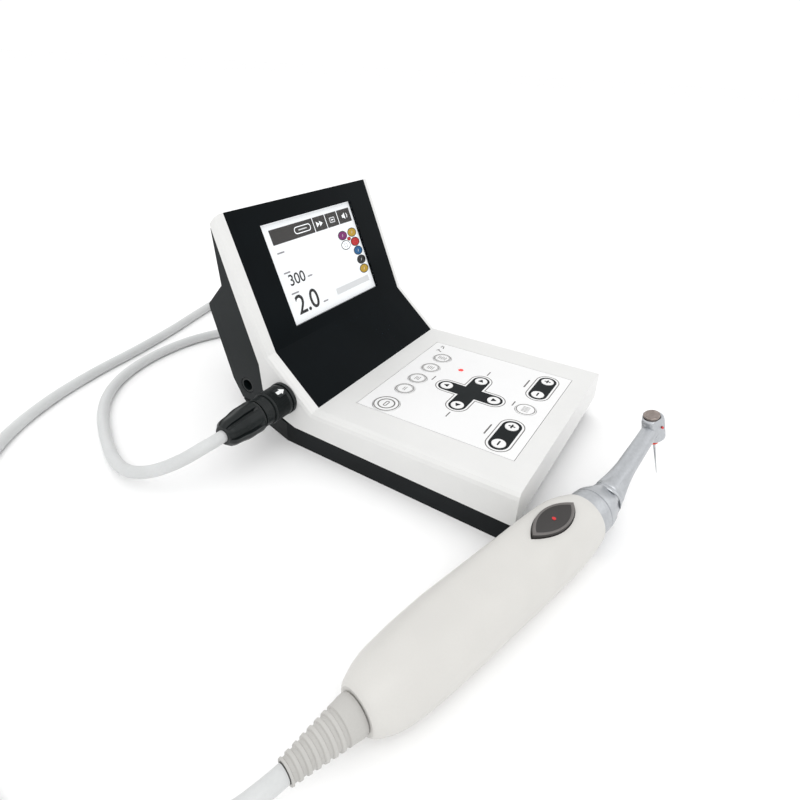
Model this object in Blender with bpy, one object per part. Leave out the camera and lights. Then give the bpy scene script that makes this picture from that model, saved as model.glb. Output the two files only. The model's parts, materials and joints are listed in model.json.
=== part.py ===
"""Endodontic motor: a table console with a display and a keypad, and a handpiece on a cord.

Sizes below are in millimetres and MM turns them into metres. +X is the console's right, +Y its
back and +Z up. The origin lies on the standing surface, under the middle of the console.
"""
import math

import bmesh
import bpy
from mathutils import Matrix, Vector

MM = 0.001
GAP = 0.3             # between two pieces that touch

# Console, seen from the side as (y, z)
SHELL_HALF_WIDTH = 58.0
SHELL_WALL = 4.7      # side wall of the white shell
REAR_HALF_WIDTH = SHELL_HALF_WIDTH - SHELL_WALL - GAP
PANEL_HALF_WIDTH = REAR_HALF_WIDTH
PANEL_TOP = (55.0, 107.5)
PANEL_BEND = (28.0, 45.5)
DECK_BACK = (2.5, 24.0)
DECK_FRONT = (-100.0, 27.0)
BASE_TOP = 10.2
SHELL_BOTTOM = BASE_TOP + GAP
FRONT_WALL = 2.6
EDGE_BEVEL = 3.5
PANEL_THICKNESS = 2.0
TRAY_FLOOR = 2.1      # sheet that carries the front panel
DECK_SKIN = 3.6       # deck thickness under its outer face
MEMBRANE_THICKNESS = 0.8
TOP_RIM = 4.0
# The white shell's lower and rear edge, from under the deck to behind the top
SHELL_BACK = [(14.0, SHELL_BOTTOM + 0.3), (22.0, 13.5), (33.6, 25.0),
              (PANEL_BEND[0] + 7.0, PANEL_BEND[1] - 7.0), (PANEL_TOP[0] - 5.0, PANEL_TOP[1] - 29.5),
              (PANEL_TOP[0] + 4.0, PANEL_TOP[1] - 5.0)]

# Display, along the panel from its bend
WINDOW_HALF_WIDTH = 35.3
WINDOW_LOW = 6.7
WINDOW_HIGH = 57.8
GLASS_THICKNESS = 1.6
GLASS_INSET = 0.2
DISPLAY_MARGIN = 2.0   # of the display's cell past its window
CELL_THICKNESS = 2.0
BACKLIGHT_INSET = 3.0
BACKLIGHT_THICKNESS = 3.8

# Keypad, on the deck: x, then distance in front of the deck's back edge
MEMBRANE_HALF_WIDTH = 39.7
MEMBRANE_BACK = 12.3
MEMBRANE_FRONT = 92.6
KEY_TRAVEL = 0.4
KEY_PROUD = 0.25
KEY_DEPTH = 2.0
POWER_RADIUS = 6.6
ROUND_RADIUS = 5.0
SMALL_RADIUS = 3.2
FRONT_ROW = 82.5
KEYS = {
    "power_key": (-32.7, 24.5, POWER_RADIUS),
    "function_key_1": (-15.9, 24.4, ROUND_RADIUS),
    "function_key_2": (-3.4, 24.4, ROUND_RADIUS),
    "function_key_3": (10.2, 24.4, ROUND_RADIUS),
    "function_key_4": (23.3, 24.4, ROUND_RADIUS),
    "arrow_key_back": (-1.3, 40.4, SMALL_RADIUS),
    "arrow_key_front": (-1.3, 66.4, SMALL_RADIUS),
    "arrow_key_right": (12.1, 53.4, SMALL_RADIUS),
    "arrow_key_left": (-14.7, 53.4, SMALL_RADIUS),
    "torque_key_plus": (30.8, FRONT_ROW, SMALL_RADIUS),
    "torque_key_minus": (16.0, FRONT_ROW, SMALL_RADIUS),
    "select_key": (-0.4, FRONT_ROW, ROUND_RADIUS),
    "speed_key_plus": (-17.3, FRONT_ROW, SMALL_RADIUS),
    "speed_key_minus": (-32.2, FRONT_ROW, SMALL_RADIUS),
}
LAMP_PLACE = (17.2, 39.1)
LAMP_RADIUS = 1.2

# Base and rear cover
BASE_HALF_WIDTH = SHELL_HALF_WIDTH - 1.0
BASE_FRONT_LOW = DECK_FRONT[0] + 4.5
BASE_FRONT_HIGH = DECK_FRONT[0] + 2.0
BASE_BACK_LOW = 44.5
BASE_BACK_HIGH = 53.6
BASE_NARROWS_FROM = 20.0
BASE_NARROWS_TO = 36.0
BASE_WALL = 2.4
BASE_FLOOR = 2.4
REAR_BOTTOM = SHELL_BOTTOM + GAP
REAR_NOSE = [(31.5, 27.8), (20.5, 16.6), (15.5, REAR_BOTTOM)]   # tucked inside the white shell
BATTERY_WALL = [(60.5, 23.0), (71.7, 56.5)]
REAR_OUTLINE = [*REAR_NOSE, (53.9, REAR_BOTTOM), (59.8, 20.6), *BATTERY_WALL, (72.0, 59.0),
                (61.5, 71.0), (PANEL_TOP[0] + 9.8, PANEL_TOP[1] - 8.9)]
REAR_WALL = 2.2
POCKET_REACH = 12.0   # how far the cover's hollow is opened towards the white shell
POCKET_SLOPE = 0.43
POCKET_LIP = 3.2
CELL_RADIUS = 8.6
CELL_LENGTH = 70.0
CELL_HEIGHTS = (30.0, 46.0)   # on the rear wall, where each cell rests against it
JACK_PLACE = (49.8, 19.3)
JACK_RADIUS = 4.0
JACK_LENGTH = 10.0
JACK_BORE = 3.0
FOOT_RADIUS = 5.0
FOOT_HEIGHT = 1.0
FOOT_X = BASE_HALF_WIDTH - 13.0
FOOT_FRONT = DECK_FRONT[0] + 30.0
FOOT_REAR = 30.0
FOOT_PLACES = {"foot_front_left": (-FOOT_X, FOOT_FRONT), "foot_front_right": (FOOT_X, FOOT_FRONT),
               "foot_rear_left": (-FOOT_X, FOOT_REAR), "foot_rear_right": (FOOT_X, FOOT_REAR)}
SCREW_X = BASE_HALF_WIDTH - 11.0
SCREW_FRONT = DECK_FRONT[0] + 14.0
SCREW_REAR = -3.0
SCREW_PLACES = {"base_screw_front_left": (-SCREW_X, SCREW_FRONT),
                "base_screw_front_right": (SCREW_X, SCREW_FRONT),
                "base_screw_rear_left": (-SCREW_X, SCREW_REAR),
                "base_screw_rear_right": (SCREW_X, SCREW_REAR)}
SCREW_RADIUS = 1.3
SCREW_HEAD_RADIUS = 2.6
SCREW_HEAD_HEIGHT = 1.8
SCREW_HEAD_BASE = 2.2
SCREW_LENGTH = 9.0
BOSS_RADIUS = 4.4
BOARD_SIZE = (74.0, 62.0, 1.6)
BOARD_CENTRE_Y = -45.0
BOARD_HEIGHT = BASE_TOP + 2.6
POST_RADIUS = 2.5
POST_INSET = 6.0

# Cord socket and plug, along -X from the console's left wall
PLUG_CORE_RADIUS = 5.1
PLUG_NOSE = 9.0
SOCKET_BORE = PLUG_CORE_RADIUS + GAP
SOCKET_BARREL_RADIUS = SOCKET_BORE + 1.2
SOCKET_FLANGE_RADIUS = SOCKET_BARREL_RADIUS + 1.4
SOCKET_CEILING = 34.58
SOCKET_DROP = 1.3     # height that the sloping panel takes for each millimetre of barrel radius
SOCKET_PLACE = (19.5, SOCKET_CEILING - SOCKET_DROP * SOCKET_BARREL_RADIUS)
SOCKET_FLANGE = 2.0
SOCKET_DEPTH = 12.0
PIN_HOLE = 1.2
RING_CLEARANCE = 0.4
RING_RADIUS = PLUG_CORE_RADIUS + RING_CLEARANCE + 2.4
RING_LENGTH = 10.5
COLLAR_RADIUS = PLUG_CORE_RADIUS + 1.9
COLLAR_LENGTH = 5.0
GRIP_RADIUS = COLLAR_RADIUS + 0.7
GRIP_LENGTH = 19.0
GRIP_END_RADIUS = 4.6

# Cord
CORD_RADIUS = 2.75
CORD_REST = CORD_RADIUS + 0.2      # height of the cord's middle where it lies down
COIL_CENTRE = (65.0, 138.0)
COIL_RADIUS = 31.0    # at the middle of the turns
COIL_SIDE = 4 * CORD_RADIUS + 0.2  # two turns wide and two high

# Handpiece: along its own axis, from its tail
HANDPIECE_TAIL = (-SHELL_HALF_WIDTH - 90.9, DECK_FRONT[0] + 9.5)
HANDPIECE_TURN = -16.0        # degrees about +Z
MOTOR_RADIUS = 9.6
HANDLE_BORE = MOTOR_RADIUS + GAP
HANDLE_WALL = 3.3             # round the motor
HANDLE_RADIUS = HANDLE_BORE + HANDLE_WALL
HANDLE_LENGTH = 112.0
# place along the axis, then how far the sides, the top and the bottom lie inside HANDLE_RADIUS
HANDLE_SECTIONS = [(0.0, 6.0, 6.0, 6.0), (1.2, 4.4, 4.4, 4.4), (8.0, 1.6, 1.6, 1.6),
                   (20.0, 0.4, 0.4, 0.4), (35.0, 0.0, 0.0, 0.0), (74.0, 0.0, -0.2, 0.0),
                   (84.0, 0.1, -1.0, 0.1), (94.0, 0.3, -1.1, 0.3), (102.0, 0.9, -0.2, 0.9),
                   (108.0, 1.6, 1.3, 1.6), (111.2, 2.3, 2.2, 2.3), (112.0, 2.9, 2.9, 2.9)]
DUCT_RADIUS = 2.2             # of the leads' passage from the tail to the motor
BOOT_LENGTH = 22.0
BOOT_RADIUS = 6.2
BOOT_END_RADIUS = 3.6
MOTOR_START = 40.0
MOTOR_END = 92.0
SHAFT_RADIUS = 1.5
SHAFT_CLEARANCE = 0.3
SHAFT_START = 62.0
SHAFT_END = 121.0
NOSE_START = MOTOR_END + GAP
NOSE_FLANGE_END = 101.0
NOSE_END = 122.0
NOSE_RADIUS = 7.0
BUTTON_CENTRE = 89.0
BUTTON_HALF_LENGTH = 13.0
BUTTON_HALF_WIDTH = 5.4
BUTTON_TOP = HANDLE_RADIUS + 2.0
BUTTON_BOTTOM = BUTTON_TOP - 3.0
BUTTON_TRAVEL = 0.8

# Contra-angle
CONTRA_ROLL = -12.0           # degrees about the handle's axis
BEND_PLACE = 130.0
NECK_ANGLE = 22.0
SLEEVE_SECTIONS = [(HANDLE_LENGTH + GAP, MOTOR_RADIUS), (118.8, MOTOR_RADIUS - 0.1),
                   (119.4, MOTOR_RADIUS - 0.6), (120.0, MOTOR_RADIUS - 0.2), (124.0, 8.9),
                   (127.5, 7.6), (129.0, 7.0), (131.5, 7.0)]
SLEEVE_BORE = NOSE_RADIUS + GAP
SLEEVE_BORE_END = 122.6
GEAR_ROOM_RADIUS = 4.3
NECK_SECTIONS = [(-2.5, 6.5), (1.0, 6.5), (3.0, 6.4), (10.0, 5.0), (17.0, 4.1), (34.0, 3.7),
                 (42.0, 3.7)]
HEAD_DISTANCE = 44.0
HEAD_LEAN = 12.0              # degrees, file tip away from the handle
HEAD_RADIUS = 5.2
HEAD_LOW = -6.0
HEAD_HIGH = 6.0
HEAD_BORE = 4.0
HEAD_FLOOR = -3.6
CAP_RADIUS = 3.7
CAP_TRAVEL = 0.7
FILE_TIP = -27.0
SHANK_RADIUS = 1.17
SHANK_TOP = 3.0
STOPPER_RADIUS = 1.9
STOPPER_HEIGHT = 2.2
STOPPER_BORE = 0.95


# ---- helpers -------------------------------------------------------------------------------

def clear_scene():
    for obj in list(bpy.data.objects):
        bpy.data.objects.remove(obj, do_unlink=True)


def material(name, colour, roughness, metallic=0.0):
    made = bpy.data.materials.new(name)
    made.use_nodes = True
    shader = made.node_tree.nodes["Principled BSDF"]
    shader.inputs["Base Color"].default_value = (*colour, 1.0)
    shader.inputs["Roughness"].default_value = roughness
    shader.inputs["Metallic"].default_value = metallic
    return made


def add_object(name, bm, finish, parent=None, smooth=True):
    """Turns a bmesh in millimetres into an object in metres."""
    bmesh.ops.remove_doubles(bm, verts=bm.verts, dist=1e-5)
    bmesh.ops.recalc_face_normals(bm, faces=bm.faces)
    bmesh.ops.scale(bm, vec=(MM, MM, MM), verts=bm.verts)
    mesh = bpy.data.meshes.new(name)
    bm.to_mesh(mesh)
    bm.free()
    obj = bpy.data.objects.new(name, mesh)
    bpy.context.scene.collection.objects.link(obj)
    obj.parent = parent
    if finish is None:
        obj.hide_render = True
        obj.display_type = "WIRE"
    else:
        mesh.materials.append(finish)
        if smooth:
            mesh.shade_smooth()
            mesh.set_sharp_from_angle(angle=math.radians(35))
    return obj


def add_empty(name, place, turn=(0.0, 0.0, 0.0), parent=None):
    """A frame to parent pieces to: place in millimetres, turn in degrees."""
    empty = bpy.data.objects.new(name, None)
    bpy.context.scene.collection.objects.link(empty)
    empty.location = Vector(place) * MM
    empty.rotation_euler = [math.radians(angle) for angle in turn]
    empty.parent = parent
    return empty


def boolean(obj, other, operation="DIFFERENCE"):
    modifier = obj.modifiers.new(f"{operation.lower()} {other.name}", "BOOLEAN")
    modifier.object = other
    modifier.operation = operation
    modifier.solver = "EXACT"


def prism(outline, low, high):
    """A (y, z) outline run along X."""
    bm = bmesh.new()
    face = bm.faces.new([bm.verts.new((low, y, z)) for y, z in outline])
    run = bmesh.ops.extrude_face_region(bm, geom=[face])
    moved = [item for item in run["geom"] if isinstance(item, bmesh.types.BMVert)]
    bmesh.ops.translate(bm, vec=(high - low, 0.0, 0.0), verts=moved)
    return bm


def block(low, high):
    bm = bmesh.new()
    centre = [(a + b) / 2 for a, b in zip(low, high)]
    size = [b - a for a, b in zip(low, high)]
    bmesh.ops.create_cube(bm, size=1.0, matrix=Matrix.Translation(centre) @ Matrix.Diagonal((*size, 1.0)))
    return bm


def add_cylinder(bm, place, low, high, radius, count=None):
    """Adds an upright cylinder to a bmesh, with more sides where it is wider."""
    sides = count or (16 if radius < 4.5 else 24)
    bmesh.ops.create_cone(bm, cap_ends=True, segments=sides, radius1=radius, radius2=radius,
                          depth=high - low, matrix=Matrix.Translation((*place, (low + high) / 2)))


def skin(rings, capped=True, ringed=False):
    """Bridges rings of equal count. Capped closes the ends, ringed joins last to first."""
    bm = bmesh.new()
    made = [[bm.verts.new(point) for point in ring] for ring in rings]
    count = len(made[0])
    pairs = list(zip(made, made[1:]))
    if ringed:
        pairs.append((made[-1], made[0]))
    for first, second in pairs:
        for i in range(count):
            j = (i + 1) % count
            bm.faces.new((first[i], first[j], second[j], second[i]))
    if capped and not ringed:
        bm.faces.new(made[0])
        bm.faces.new(made[-1])
    return bm


def circle(radius, count):
    return [(radius * math.cos(2 * math.pi * i / count), radius * math.sin(2 * math.pi * i / count))
            for i in range(count)]


def turned(profile, count=24, axis="Z", hollow=False):
    """Turns a profile of (place, radius) about an axis. Hollow closes the profile on itself."""
    rings = []
    for place, radius in profile:
        if axis == "Z":
            rings.append([(u, v, place) for u, v in circle(radius, count)])
        else:
            rings.append([(place, u, v) for u, v in circle(radius, count)])
    return skin(rings, ringed=hollow)


def tube_profile(low, high, outer, inner):
    return [(low, outer), (high, outer), (high, inner), (low, inner)]


def inward(first, second, depth):
    """The line first-second moved to its right by depth, as two (y, z) points."""
    dy, dz = second[0] - first[0], second[1] - first[1]
    length = math.hypot(dy, dz)
    ny, nz = -dz / length * depth, dy / length * depth
    return (first[0] + ny, first[1] + nz), (second[0] + ny, second[1] + nz)


def crossing(line_a, line_b):
    """Where two (y, z) lines meet."""
    (ay, az), (by, bz) = line_a
    (cy, cz), (dy, dz) = line_b
    rise = (by - ay) * (dz - cz) - (bz - az) * (dy - cy)
    share = ((cy - ay) * (dz - cz) - (cz - az) * (dy - cy)) / rise
    return ay + share * (by - ay), az + share * (bz - az)


def inset_path(points, depths):
    """An open path moved inward, each stretch by its own depth, with mitred corners."""
    lines = [inward(a, b, depth) for a, b, depth in zip(points, points[1:], depths)]
    corners = [crossing(a, b) for a, b in zip(lines, lines[1:])]
    return [lines[0][0], *corners, lines[-1][1]]


def inset_outline(points, depth):
    """A closed outline moved inward by one depth."""
    lines = [inward(a, b, depth) for a, b in zip(points, points[1:] + points[:1])]
    return [crossing(lines[i - 1], lines[i]) for i in range(len(lines))]


# ---- frames --------------------------------------------------------------------------------

FRONT_PATH = [PANEL_TOP, PANEL_BEND, DECK_BACK, DECK_FRONT]
PANEL_LENGTH = math.dist(PANEL_TOP, PANEL_BEND)
PANEL_TILT = math.degrees(math.atan2(PANEL_TOP[1] - PANEL_BEND[1], PANEL_TOP[0] - PANEL_BEND[0]))
DECK_TILT = math.degrees(math.atan2(DECK_BACK[1] - DECK_FRONT[1], DECK_BACK[0] - DECK_FRONT[0]))


def make_frames():
    """Empties that carry the pieces which don't lie square to the console."""
    frames = {
        "screen": add_empty("screen_frame", (0.0, *PANEL_BEND), (PANEL_TILT, 0.0, 0.0)),
        "deck": add_empty("deck_frame", (0.0, *DECK_BACK), (DECK_TILT, 0.0, 0.0)),
        "plug": add_empty("plug_frame", (-SHELL_HALF_WIDTH, *SOCKET_PLACE), (0.0, 0.0, 180.0)),
        "handle": add_empty("handpiece_frame", (*HANDPIECE_TAIL, HANDLE_RADIUS),
                            (0.0, 0.0, HANDPIECE_TURN)),
    }
    frames["contra"] = add_empty("contra_frame", (0.0, 0.0, 0.0), (CONTRA_ROLL, 0.0, 0.0),
                                 frames["handle"])
    frames["bend"] = add_empty("bend_frame", (BEND_PLACE, 0.0, 0.0), (0.0, -NECK_ANGLE / 2, 0.0),
                               frames["contra"])
    frames["neck"] = add_empty("neck_frame", (BEND_PLACE, 0.0, 0.0), (0.0, -NECK_ANGLE, 0.0),
                               frames["contra"])
    frames["head"] = add_empty("head_frame", (HEAD_DISTANCE, 0.0, 0.0),
                               (0.0, NECK_ANGLE - HEAD_LEAN, 0.0), frames["neck"])
    return frames


# ---- console -------------------------------------------------------------------------------

def bevel_front_edges(bm, width, segments):
    """Rounds the long edges between the front faces and the two sides."""
    picked = []
    for edge in bm.edges:
        a, b = (v.co for v in edge.verts)
        on_side = abs(abs(a.x) - SHELL_HALF_WIDTH) < 1e-6 and abs(a.x - b.x) < 1e-6
        on_front = all(any(math.dist((p.y, p.z), q) < 1e-6 for q in FRONT_PATH) for p in (a, b))
        if on_side and on_front:
            picked.append(edge)
    bmesh.ops.bevel(bm, geom=picked, offset=width, segments=segments, profile=0.5, affect="EDGES")


def shell_pocket():
    """The hollow of the white shell, open at the back and below."""
    behind, below = 30.0, -5.0
    depths = [PANEL_THICKNESS + GAP + TRAY_FLOOR] * 2 + [DECK_SKIN]
    top, bend, deck_back, deck_front = inset_path(FRONT_PATH, depths)
    share = TOP_RIM / PANEL_LENGTH
    top = (top[0] - share * (PANEL_TOP[0] - PANEL_BEND[0]), top[1] - share * (PANEL_TOP[1] - PANEL_BEND[1]))
    back = math.radians(PANEL_TILT)
    far = (top[0] + behind * math.sin(back), top[1] - behind * math.cos(back))
    front = DECK_FRONT[0] + FRONT_WALL
    return [far, top, bend, deck_back, (front, deck_front[1]), (front, below), (far[0], below)]


def socket_room(frames):
    """A cutter that keeps other pieces clear of the cord socket's barrel."""
    radius = SOCKET_BARREL_RADIUS + GAP
    room = turned([(-SOCKET_DEPTH - GAP, radius), (20.0, radius)], 24, "X")
    return add_object("socket_room", room, None, frames["plug"])


def upper_shell(frames, finish):
    outline = [*FRONT_PATH, (DECK_FRONT[0], SHELL_BOTTOM), *SHELL_BACK]
    bm = prism(outline, -SHELL_HALF_WIDTH, SHELL_HALF_WIDTH)
    bevel_front_edges(bm, EDGE_BEVEL, 3)
    shell = add_object("upper_shell", bm, finish)
    inner = REAR_HALF_WIDTH + GAP
    boolean(shell, add_object("shell_pocket", prism(shell_pocket(), -inner, inner), None))
    bosses = bmesh.new()
    for place in SCREW_PLACES.values():
        add_cylinder(bosses, place, SHELL_BOTTOM, DECK_BACK[1] - 1.0, BOSS_RADIUS, 16)
    boolean(shell, add_object("shell_bosses", bosses, None), "UNION")
    holes = bmesh.new()
    screw_top = SCREW_HEAD_BASE + SCREW_HEAD_HEIGHT + SCREW_LENGTH
    for place in SCREW_PLACES.values():
        add_cylinder(holes, place, 0.0, screw_top + 1.0, SCREW_RADIUS + GAP, 12)
    boolean(shell, add_object("shell_screw_holes", holes, None))
    recess_depth = PANEL_THICKNESS + GAP
    past_top = [top + 5.0 / PANEL_LENGTH * (top - bend) for top, bend in zip(PANEL_TOP, PANEL_BEND)]
    path = [past_top, PANEL_BEND, DECK_BACK]
    below = inset_path(path, [recess_depth] * 2)
    above = inset_path(path, [-10.0] * 2)
    wide = PANEL_HALF_WIDTH + GAP
    recess = prism([*above, *reversed(below)], -wide, wide)
    boolean(shell, add_object("panel_recess", recess, None))
    cell = WINDOW_HALF_WIDTH + DISPLAY_MARGIN + GAP
    opening = block((-cell, WINDOW_LOW - DISPLAY_MARGIN - GAP, -20.0),
                    (cell, WINDOW_HIGH + DISPLAY_MARGIN - GAP, 5.0))
    boolean(shell, add_object("display_opening", opening, None, frames["screen"]))
    wide = MEMBRANE_HALF_WIDTH + GAP
    boolean(shell, add_object("membrane_recess", block(
        (-wide, -MEMBRANE_FRONT - GAP, -MEMBRANE_THICKNESS - GAP),
        (wide, -MEMBRANE_BACK + GAP, 6.0)), None, frames["deck"]))
    pockets = bmesh.new()
    for x, y, radius in KEYS.values():
        add_cylinder(pockets, (x, -y), -KEY_DEPTH - KEY_TRAVEL - GAP, 5.0, radius + GAP)
    boolean(shell, add_object("key_pockets", pockets, None, frames["deck"]))
    boolean(shell, socket_room(frames))


def front_panel(frames, finish):
    inner = inset_path(FRONT_PATH[:3], [PANEL_THICKNESS] * 2)
    panel = add_object("front_panel", prism([*FRONT_PATH[:3], *reversed(inner)],
                                            -PANEL_HALF_WIDTH, PANEL_HALF_WIDTH), finish)
    window = block((-WINDOW_HALF_WIDTH, WINDOW_LOW, -10.0), (WINDOW_HALF_WIDTH, WINDOW_HIGH, 5.0))
    boolean(panel, add_object("window_cut", window, None, frames["screen"]))


def display(frames, glass_finish, module_finish):
    glass = block((-WINDOW_HALF_WIDTH + GAP, WINDOW_LOW + GAP, -GLASS_INSET - GLASS_THICKNESS),
                  (WINDOW_HALF_WIDTH - GAP, WINDOW_HIGH - GAP, -GLASS_INSET))
    add_object("display_window", glass, glass_finish, frames["screen"], smooth=False)
    face = -PANEL_THICKNESS - GAP
    half = WINDOW_HALF_WIDTH + DISPLAY_MARGIN
    low, high = WINDOW_LOW - DISPLAY_MARGIN, WINDOW_HIGH + DISPLAY_MARGIN - 2 * GAP
    module = add_object("display_module", block((-half, low, face - CELL_THICKNESS), (half, high, face)),
                        module_finish, frames["screen"], smooth=False)
    back = face - CELL_THICKNESS
    backlight = block((-half + BACKLIGHT_INSET, low + BACKLIGHT_INSET, back - BACKLIGHT_THICKNESS),
                      (half - BACKLIGHT_INSET, high - 2 * BACKLIGHT_INSET, back + 1.0))
    boolean(module, add_object("backlight", backlight, None, frames["screen"]), "UNION")


def keypad(frames, membrane_finish, key_finish, lamp_finish):
    sheet = block((-MEMBRANE_HALF_WIDTH, -MEMBRANE_FRONT, -MEMBRANE_THICKNESS),
                  (MEMBRANE_HALF_WIDTH, -MEMBRANE_BACK, 0.0))
    membrane = add_object("keypad_membrane", sheet, membrane_finish, frames["deck"], smooth=False)
    holes = bmesh.new()
    for x, y, radius in KEYS.values():
        add_cylinder(holes, (x, -y), -5.0, 5.0, radius + GAP)
    add_cylinder(holes, (LAMP_PLACE[0], -LAMP_PLACE[1]), -5.0, 5.0, LAMP_RADIUS + GAP, 12)
    boolean(membrane, add_object("membrane_holes", holes, None, frames["deck"]))
    for name, (x, y, radius) in KEYS.items():
        count = 16 if radius < 4.5 else 24
        profile = [(-KEY_DEPTH, radius), (KEY_PROUD - 0.2, radius), (KEY_PROUD, radius - 0.3)]
        key = add_object(name, turned(profile, count), key_finish, frames["deck"])
        key.location = Vector((x, -y, 0.0)) * MM
    lamp = turned([(-MEMBRANE_THICKNESS, LAMP_RADIUS), (0.05, LAMP_RADIUS)], 12)
    lamp = add_object("status_lamp", lamp, lamp_finish, frames["deck"])
    lamp.location = Vector((LAMP_PLACE[0], -LAMP_PLACE[1], 0.0)) * MM


def base_plan(front, back, inset=0.0):
    """The base seen from above."""
    wide, narrow = BASE_HALF_WIDTH - inset, REAR_HALF_WIDTH - inset
    right = [(wide, front + inset), (wide, BASE_NARROWS_FROM), (narrow, BASE_NARROWS_TO),
             (narrow, back - inset)]
    return [*right, *[(-x, y) for x, y in reversed(right)]]


def base_shell(finish):
    low = [(x, y, 0.0) for x, y in base_plan(BASE_FRONT_LOW, BASE_BACK_LOW)]
    high = [(x, y, BASE_TOP) for x, y in base_plan(BASE_FRONT_HIGH, BASE_BACK_HIGH)]
    shell = add_object("base_shell", skin([low, high]), finish)
    inner_low = base_plan(BASE_FRONT_LOW, BASE_BACK_LOW, BASE_WALL)
    floor = [(x, y, BASE_FLOOR) for x, y in inner_low]
    rim = [(x, y, BASE_TOP + 5.0) for x, y in inner_low]
    boolean(shell, add_object("base_pocket", skin([floor, rim]), None))
    posts = bmesh.new()
    for x, y in SCREW_PLACES.values():
        add_cylinder(posts, (x, y), 1.0, BASE_TOP, BOSS_RADIUS, 16)
    for sx in (-1, 1):
        for sy in (-1, 1):
            place = (sx * (BOARD_SIZE[0] / 2 - POST_INSET),
                     BOARD_CENTRE_Y + sy * (BOARD_SIZE[1] / 2 - POST_INSET))
            add_cylinder(posts, place, 1.0, BOARD_HEIGHT - GAP, POST_RADIUS, 12)
    boolean(shell, add_object("base_posts", posts, None), "UNION")
    holes = bmesh.new()
    for x, y in SCREW_PLACES.values():
        add_cylinder(holes, (x, y), -1.0, SCREW_HEAD_BASE + SCREW_HEAD_HEIGHT + GAP,
                     SCREW_HEAD_RADIUS + GAP, 16)
    boolean(shell, add_object("screw_head_holes", holes, None))
    holes = bmesh.new()
    for x, y in SCREW_PLACES.values():
        add_cylinder(holes, (x, y), 2.0, BASE_TOP + 1.0, SCREW_RADIUS + GAP, 12)
    for x, y in FOOT_PLACES.values():
        add_cylinder(holes, (x, y), -1.0, FOOT_HEIGHT + GAP, FOOT_RADIUS + GAP, 20)
    boolean(shell, add_object("base_holes", holes, None))


def fasteners_and_feet(steel, rubber):
    for name, (x, y) in SCREW_PLACES.items():
        top = SCREW_HEAD_BASE + SCREW_HEAD_HEIGHT
        profile = [(SCREW_HEAD_BASE, SCREW_HEAD_RADIUS), (top, SCREW_HEAD_RADIUS), (top, SCREW_RADIUS),
                   (top + SCREW_LENGTH, SCREW_RADIUS)]
        screw = add_object(name, turned(profile, 12), steel)
        screw.location = Vector((x, y, 0.0)) * MM
    for name, (x, y) in FOOT_PLACES.items():
        foot = add_object(name, turned([(0.0, FOOT_RADIUS), (FOOT_HEIGHT, FOOT_RADIUS)], 20), rubber)
        foot.location = Vector((x, y, 0.0)) * MM


def main_board(finish):
    x, y, z = BOARD_SIZE
    board = block((-x / 2, BOARD_CENTRE_Y - y / 2, BOARD_HEIGHT),
                  (x / 2, BOARD_CENTRE_Y + y / 2, BOARD_HEIGHT + z))
    add_object("main_board", board, finish, smooth=False)


def rear_outline():
    """The rear cover from the side: its hidden front edges follow the white shell's hollow."""
    depth = PANEL_THICKNESS + TRAY_FLOOR + 2 * GAP
    top, bend, _ = inset_path(FRONT_PATH[:3], [depth] * 2)
    share = (TOP_RIM + GAP) / PANEL_LENGTH
    top = (top[0] - share * (PANEL_TOP[0] - PANEL_BEND[0]), top[1] - share * (PANEL_TOP[1] - PANEL_BEND[1]))
    return [top, bend, *REAR_OUTLINE]


def rear_cover(frames, finish):
    outline = rear_outline()
    cover = add_object("rear_cover", prism(outline, -REAR_HALF_WIDTH, REAR_HALF_WIDTH), finish)
    inner = inset_outline(outline, REAR_WALL)
    # Above its nose the cover is open towards the white shell, so its hollow runs out there
    inner[0] = (inner[0][0] - POCKET_REACH, inner[0][1] + POCKET_SLOPE * POCKET_REACH)
    inner[1] = (inner[1][0] - POCKET_REACH, inner[1][1])
    inner.insert(2, (REAR_NOSE[0][0] - POCKET_REACH, REAR_NOSE[0][1] + POCKET_LIP))
    wide = REAR_HALF_WIDTH - REAR_WALL
    boolean(cover, add_object("rear_pocket", prism(inner, -wide, wide), None))
    hole = turned([(-5.0, JACK_RADIUS + GAP), (5.0, JACK_RADIUS + GAP)], 20, "X")
    hole = add_object("jack_hole", hole, None)
    hole.location = Vector((-REAR_HALF_WIDTH, *JACK_PLACE)) * MM
    boolean(cover, hole)
    boolean(cover, socket_room(frames))


def battery_pack(finish):
    """Two cells side by side in one wrap, resting on the cover's rear wall."""
    low, high = BATTERY_WALL
    length = math.dist(low, high)
    away = REAR_WALL + GAP + CELL_RADIUS
    cells = []
    for z in CELL_HEIGHTS:
        y = low[0] + (high[0] - low[0]) * (z - low[1]) / (high[1] - low[1])
        centre = (y - away * (high[1] - low[1]) / length, z + away * (high[0] - low[0]) / length)
        profile = [(-CELL_LENGTH / 2, CELL_RADIUS), (CELL_LENGTH / 2, CELL_RADIUS)]
        cell = add_object("battery_pack" if not cells else "second_cell", turned(profile, 20, "X"),
                          None if cells else finish)
        cell.location = Vector((0.0, *centre)) * MM
        cells.append(cell)
    boolean(cells[0], cells[1], "UNION")


def charge_jack(finish):
    outer = JACK_RADIUS
    profile = [(0.2, outer), (JACK_LENGTH, outer), (JACK_LENGTH, 0.9), (JACK_LENGTH - 1.5, 0.9),
               (JACK_LENGTH - 1.5, JACK_BORE), (0.2, JACK_BORE)]
    jack = add_object("charge_jack", turned(profile, 20, "X", hollow=True), finish)
    jack.location = Vector((-REAR_HALF_WIDTH, *JACK_PLACE)) * MM


# ---- plug and cord -------------------------------------------------------------------------

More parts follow.
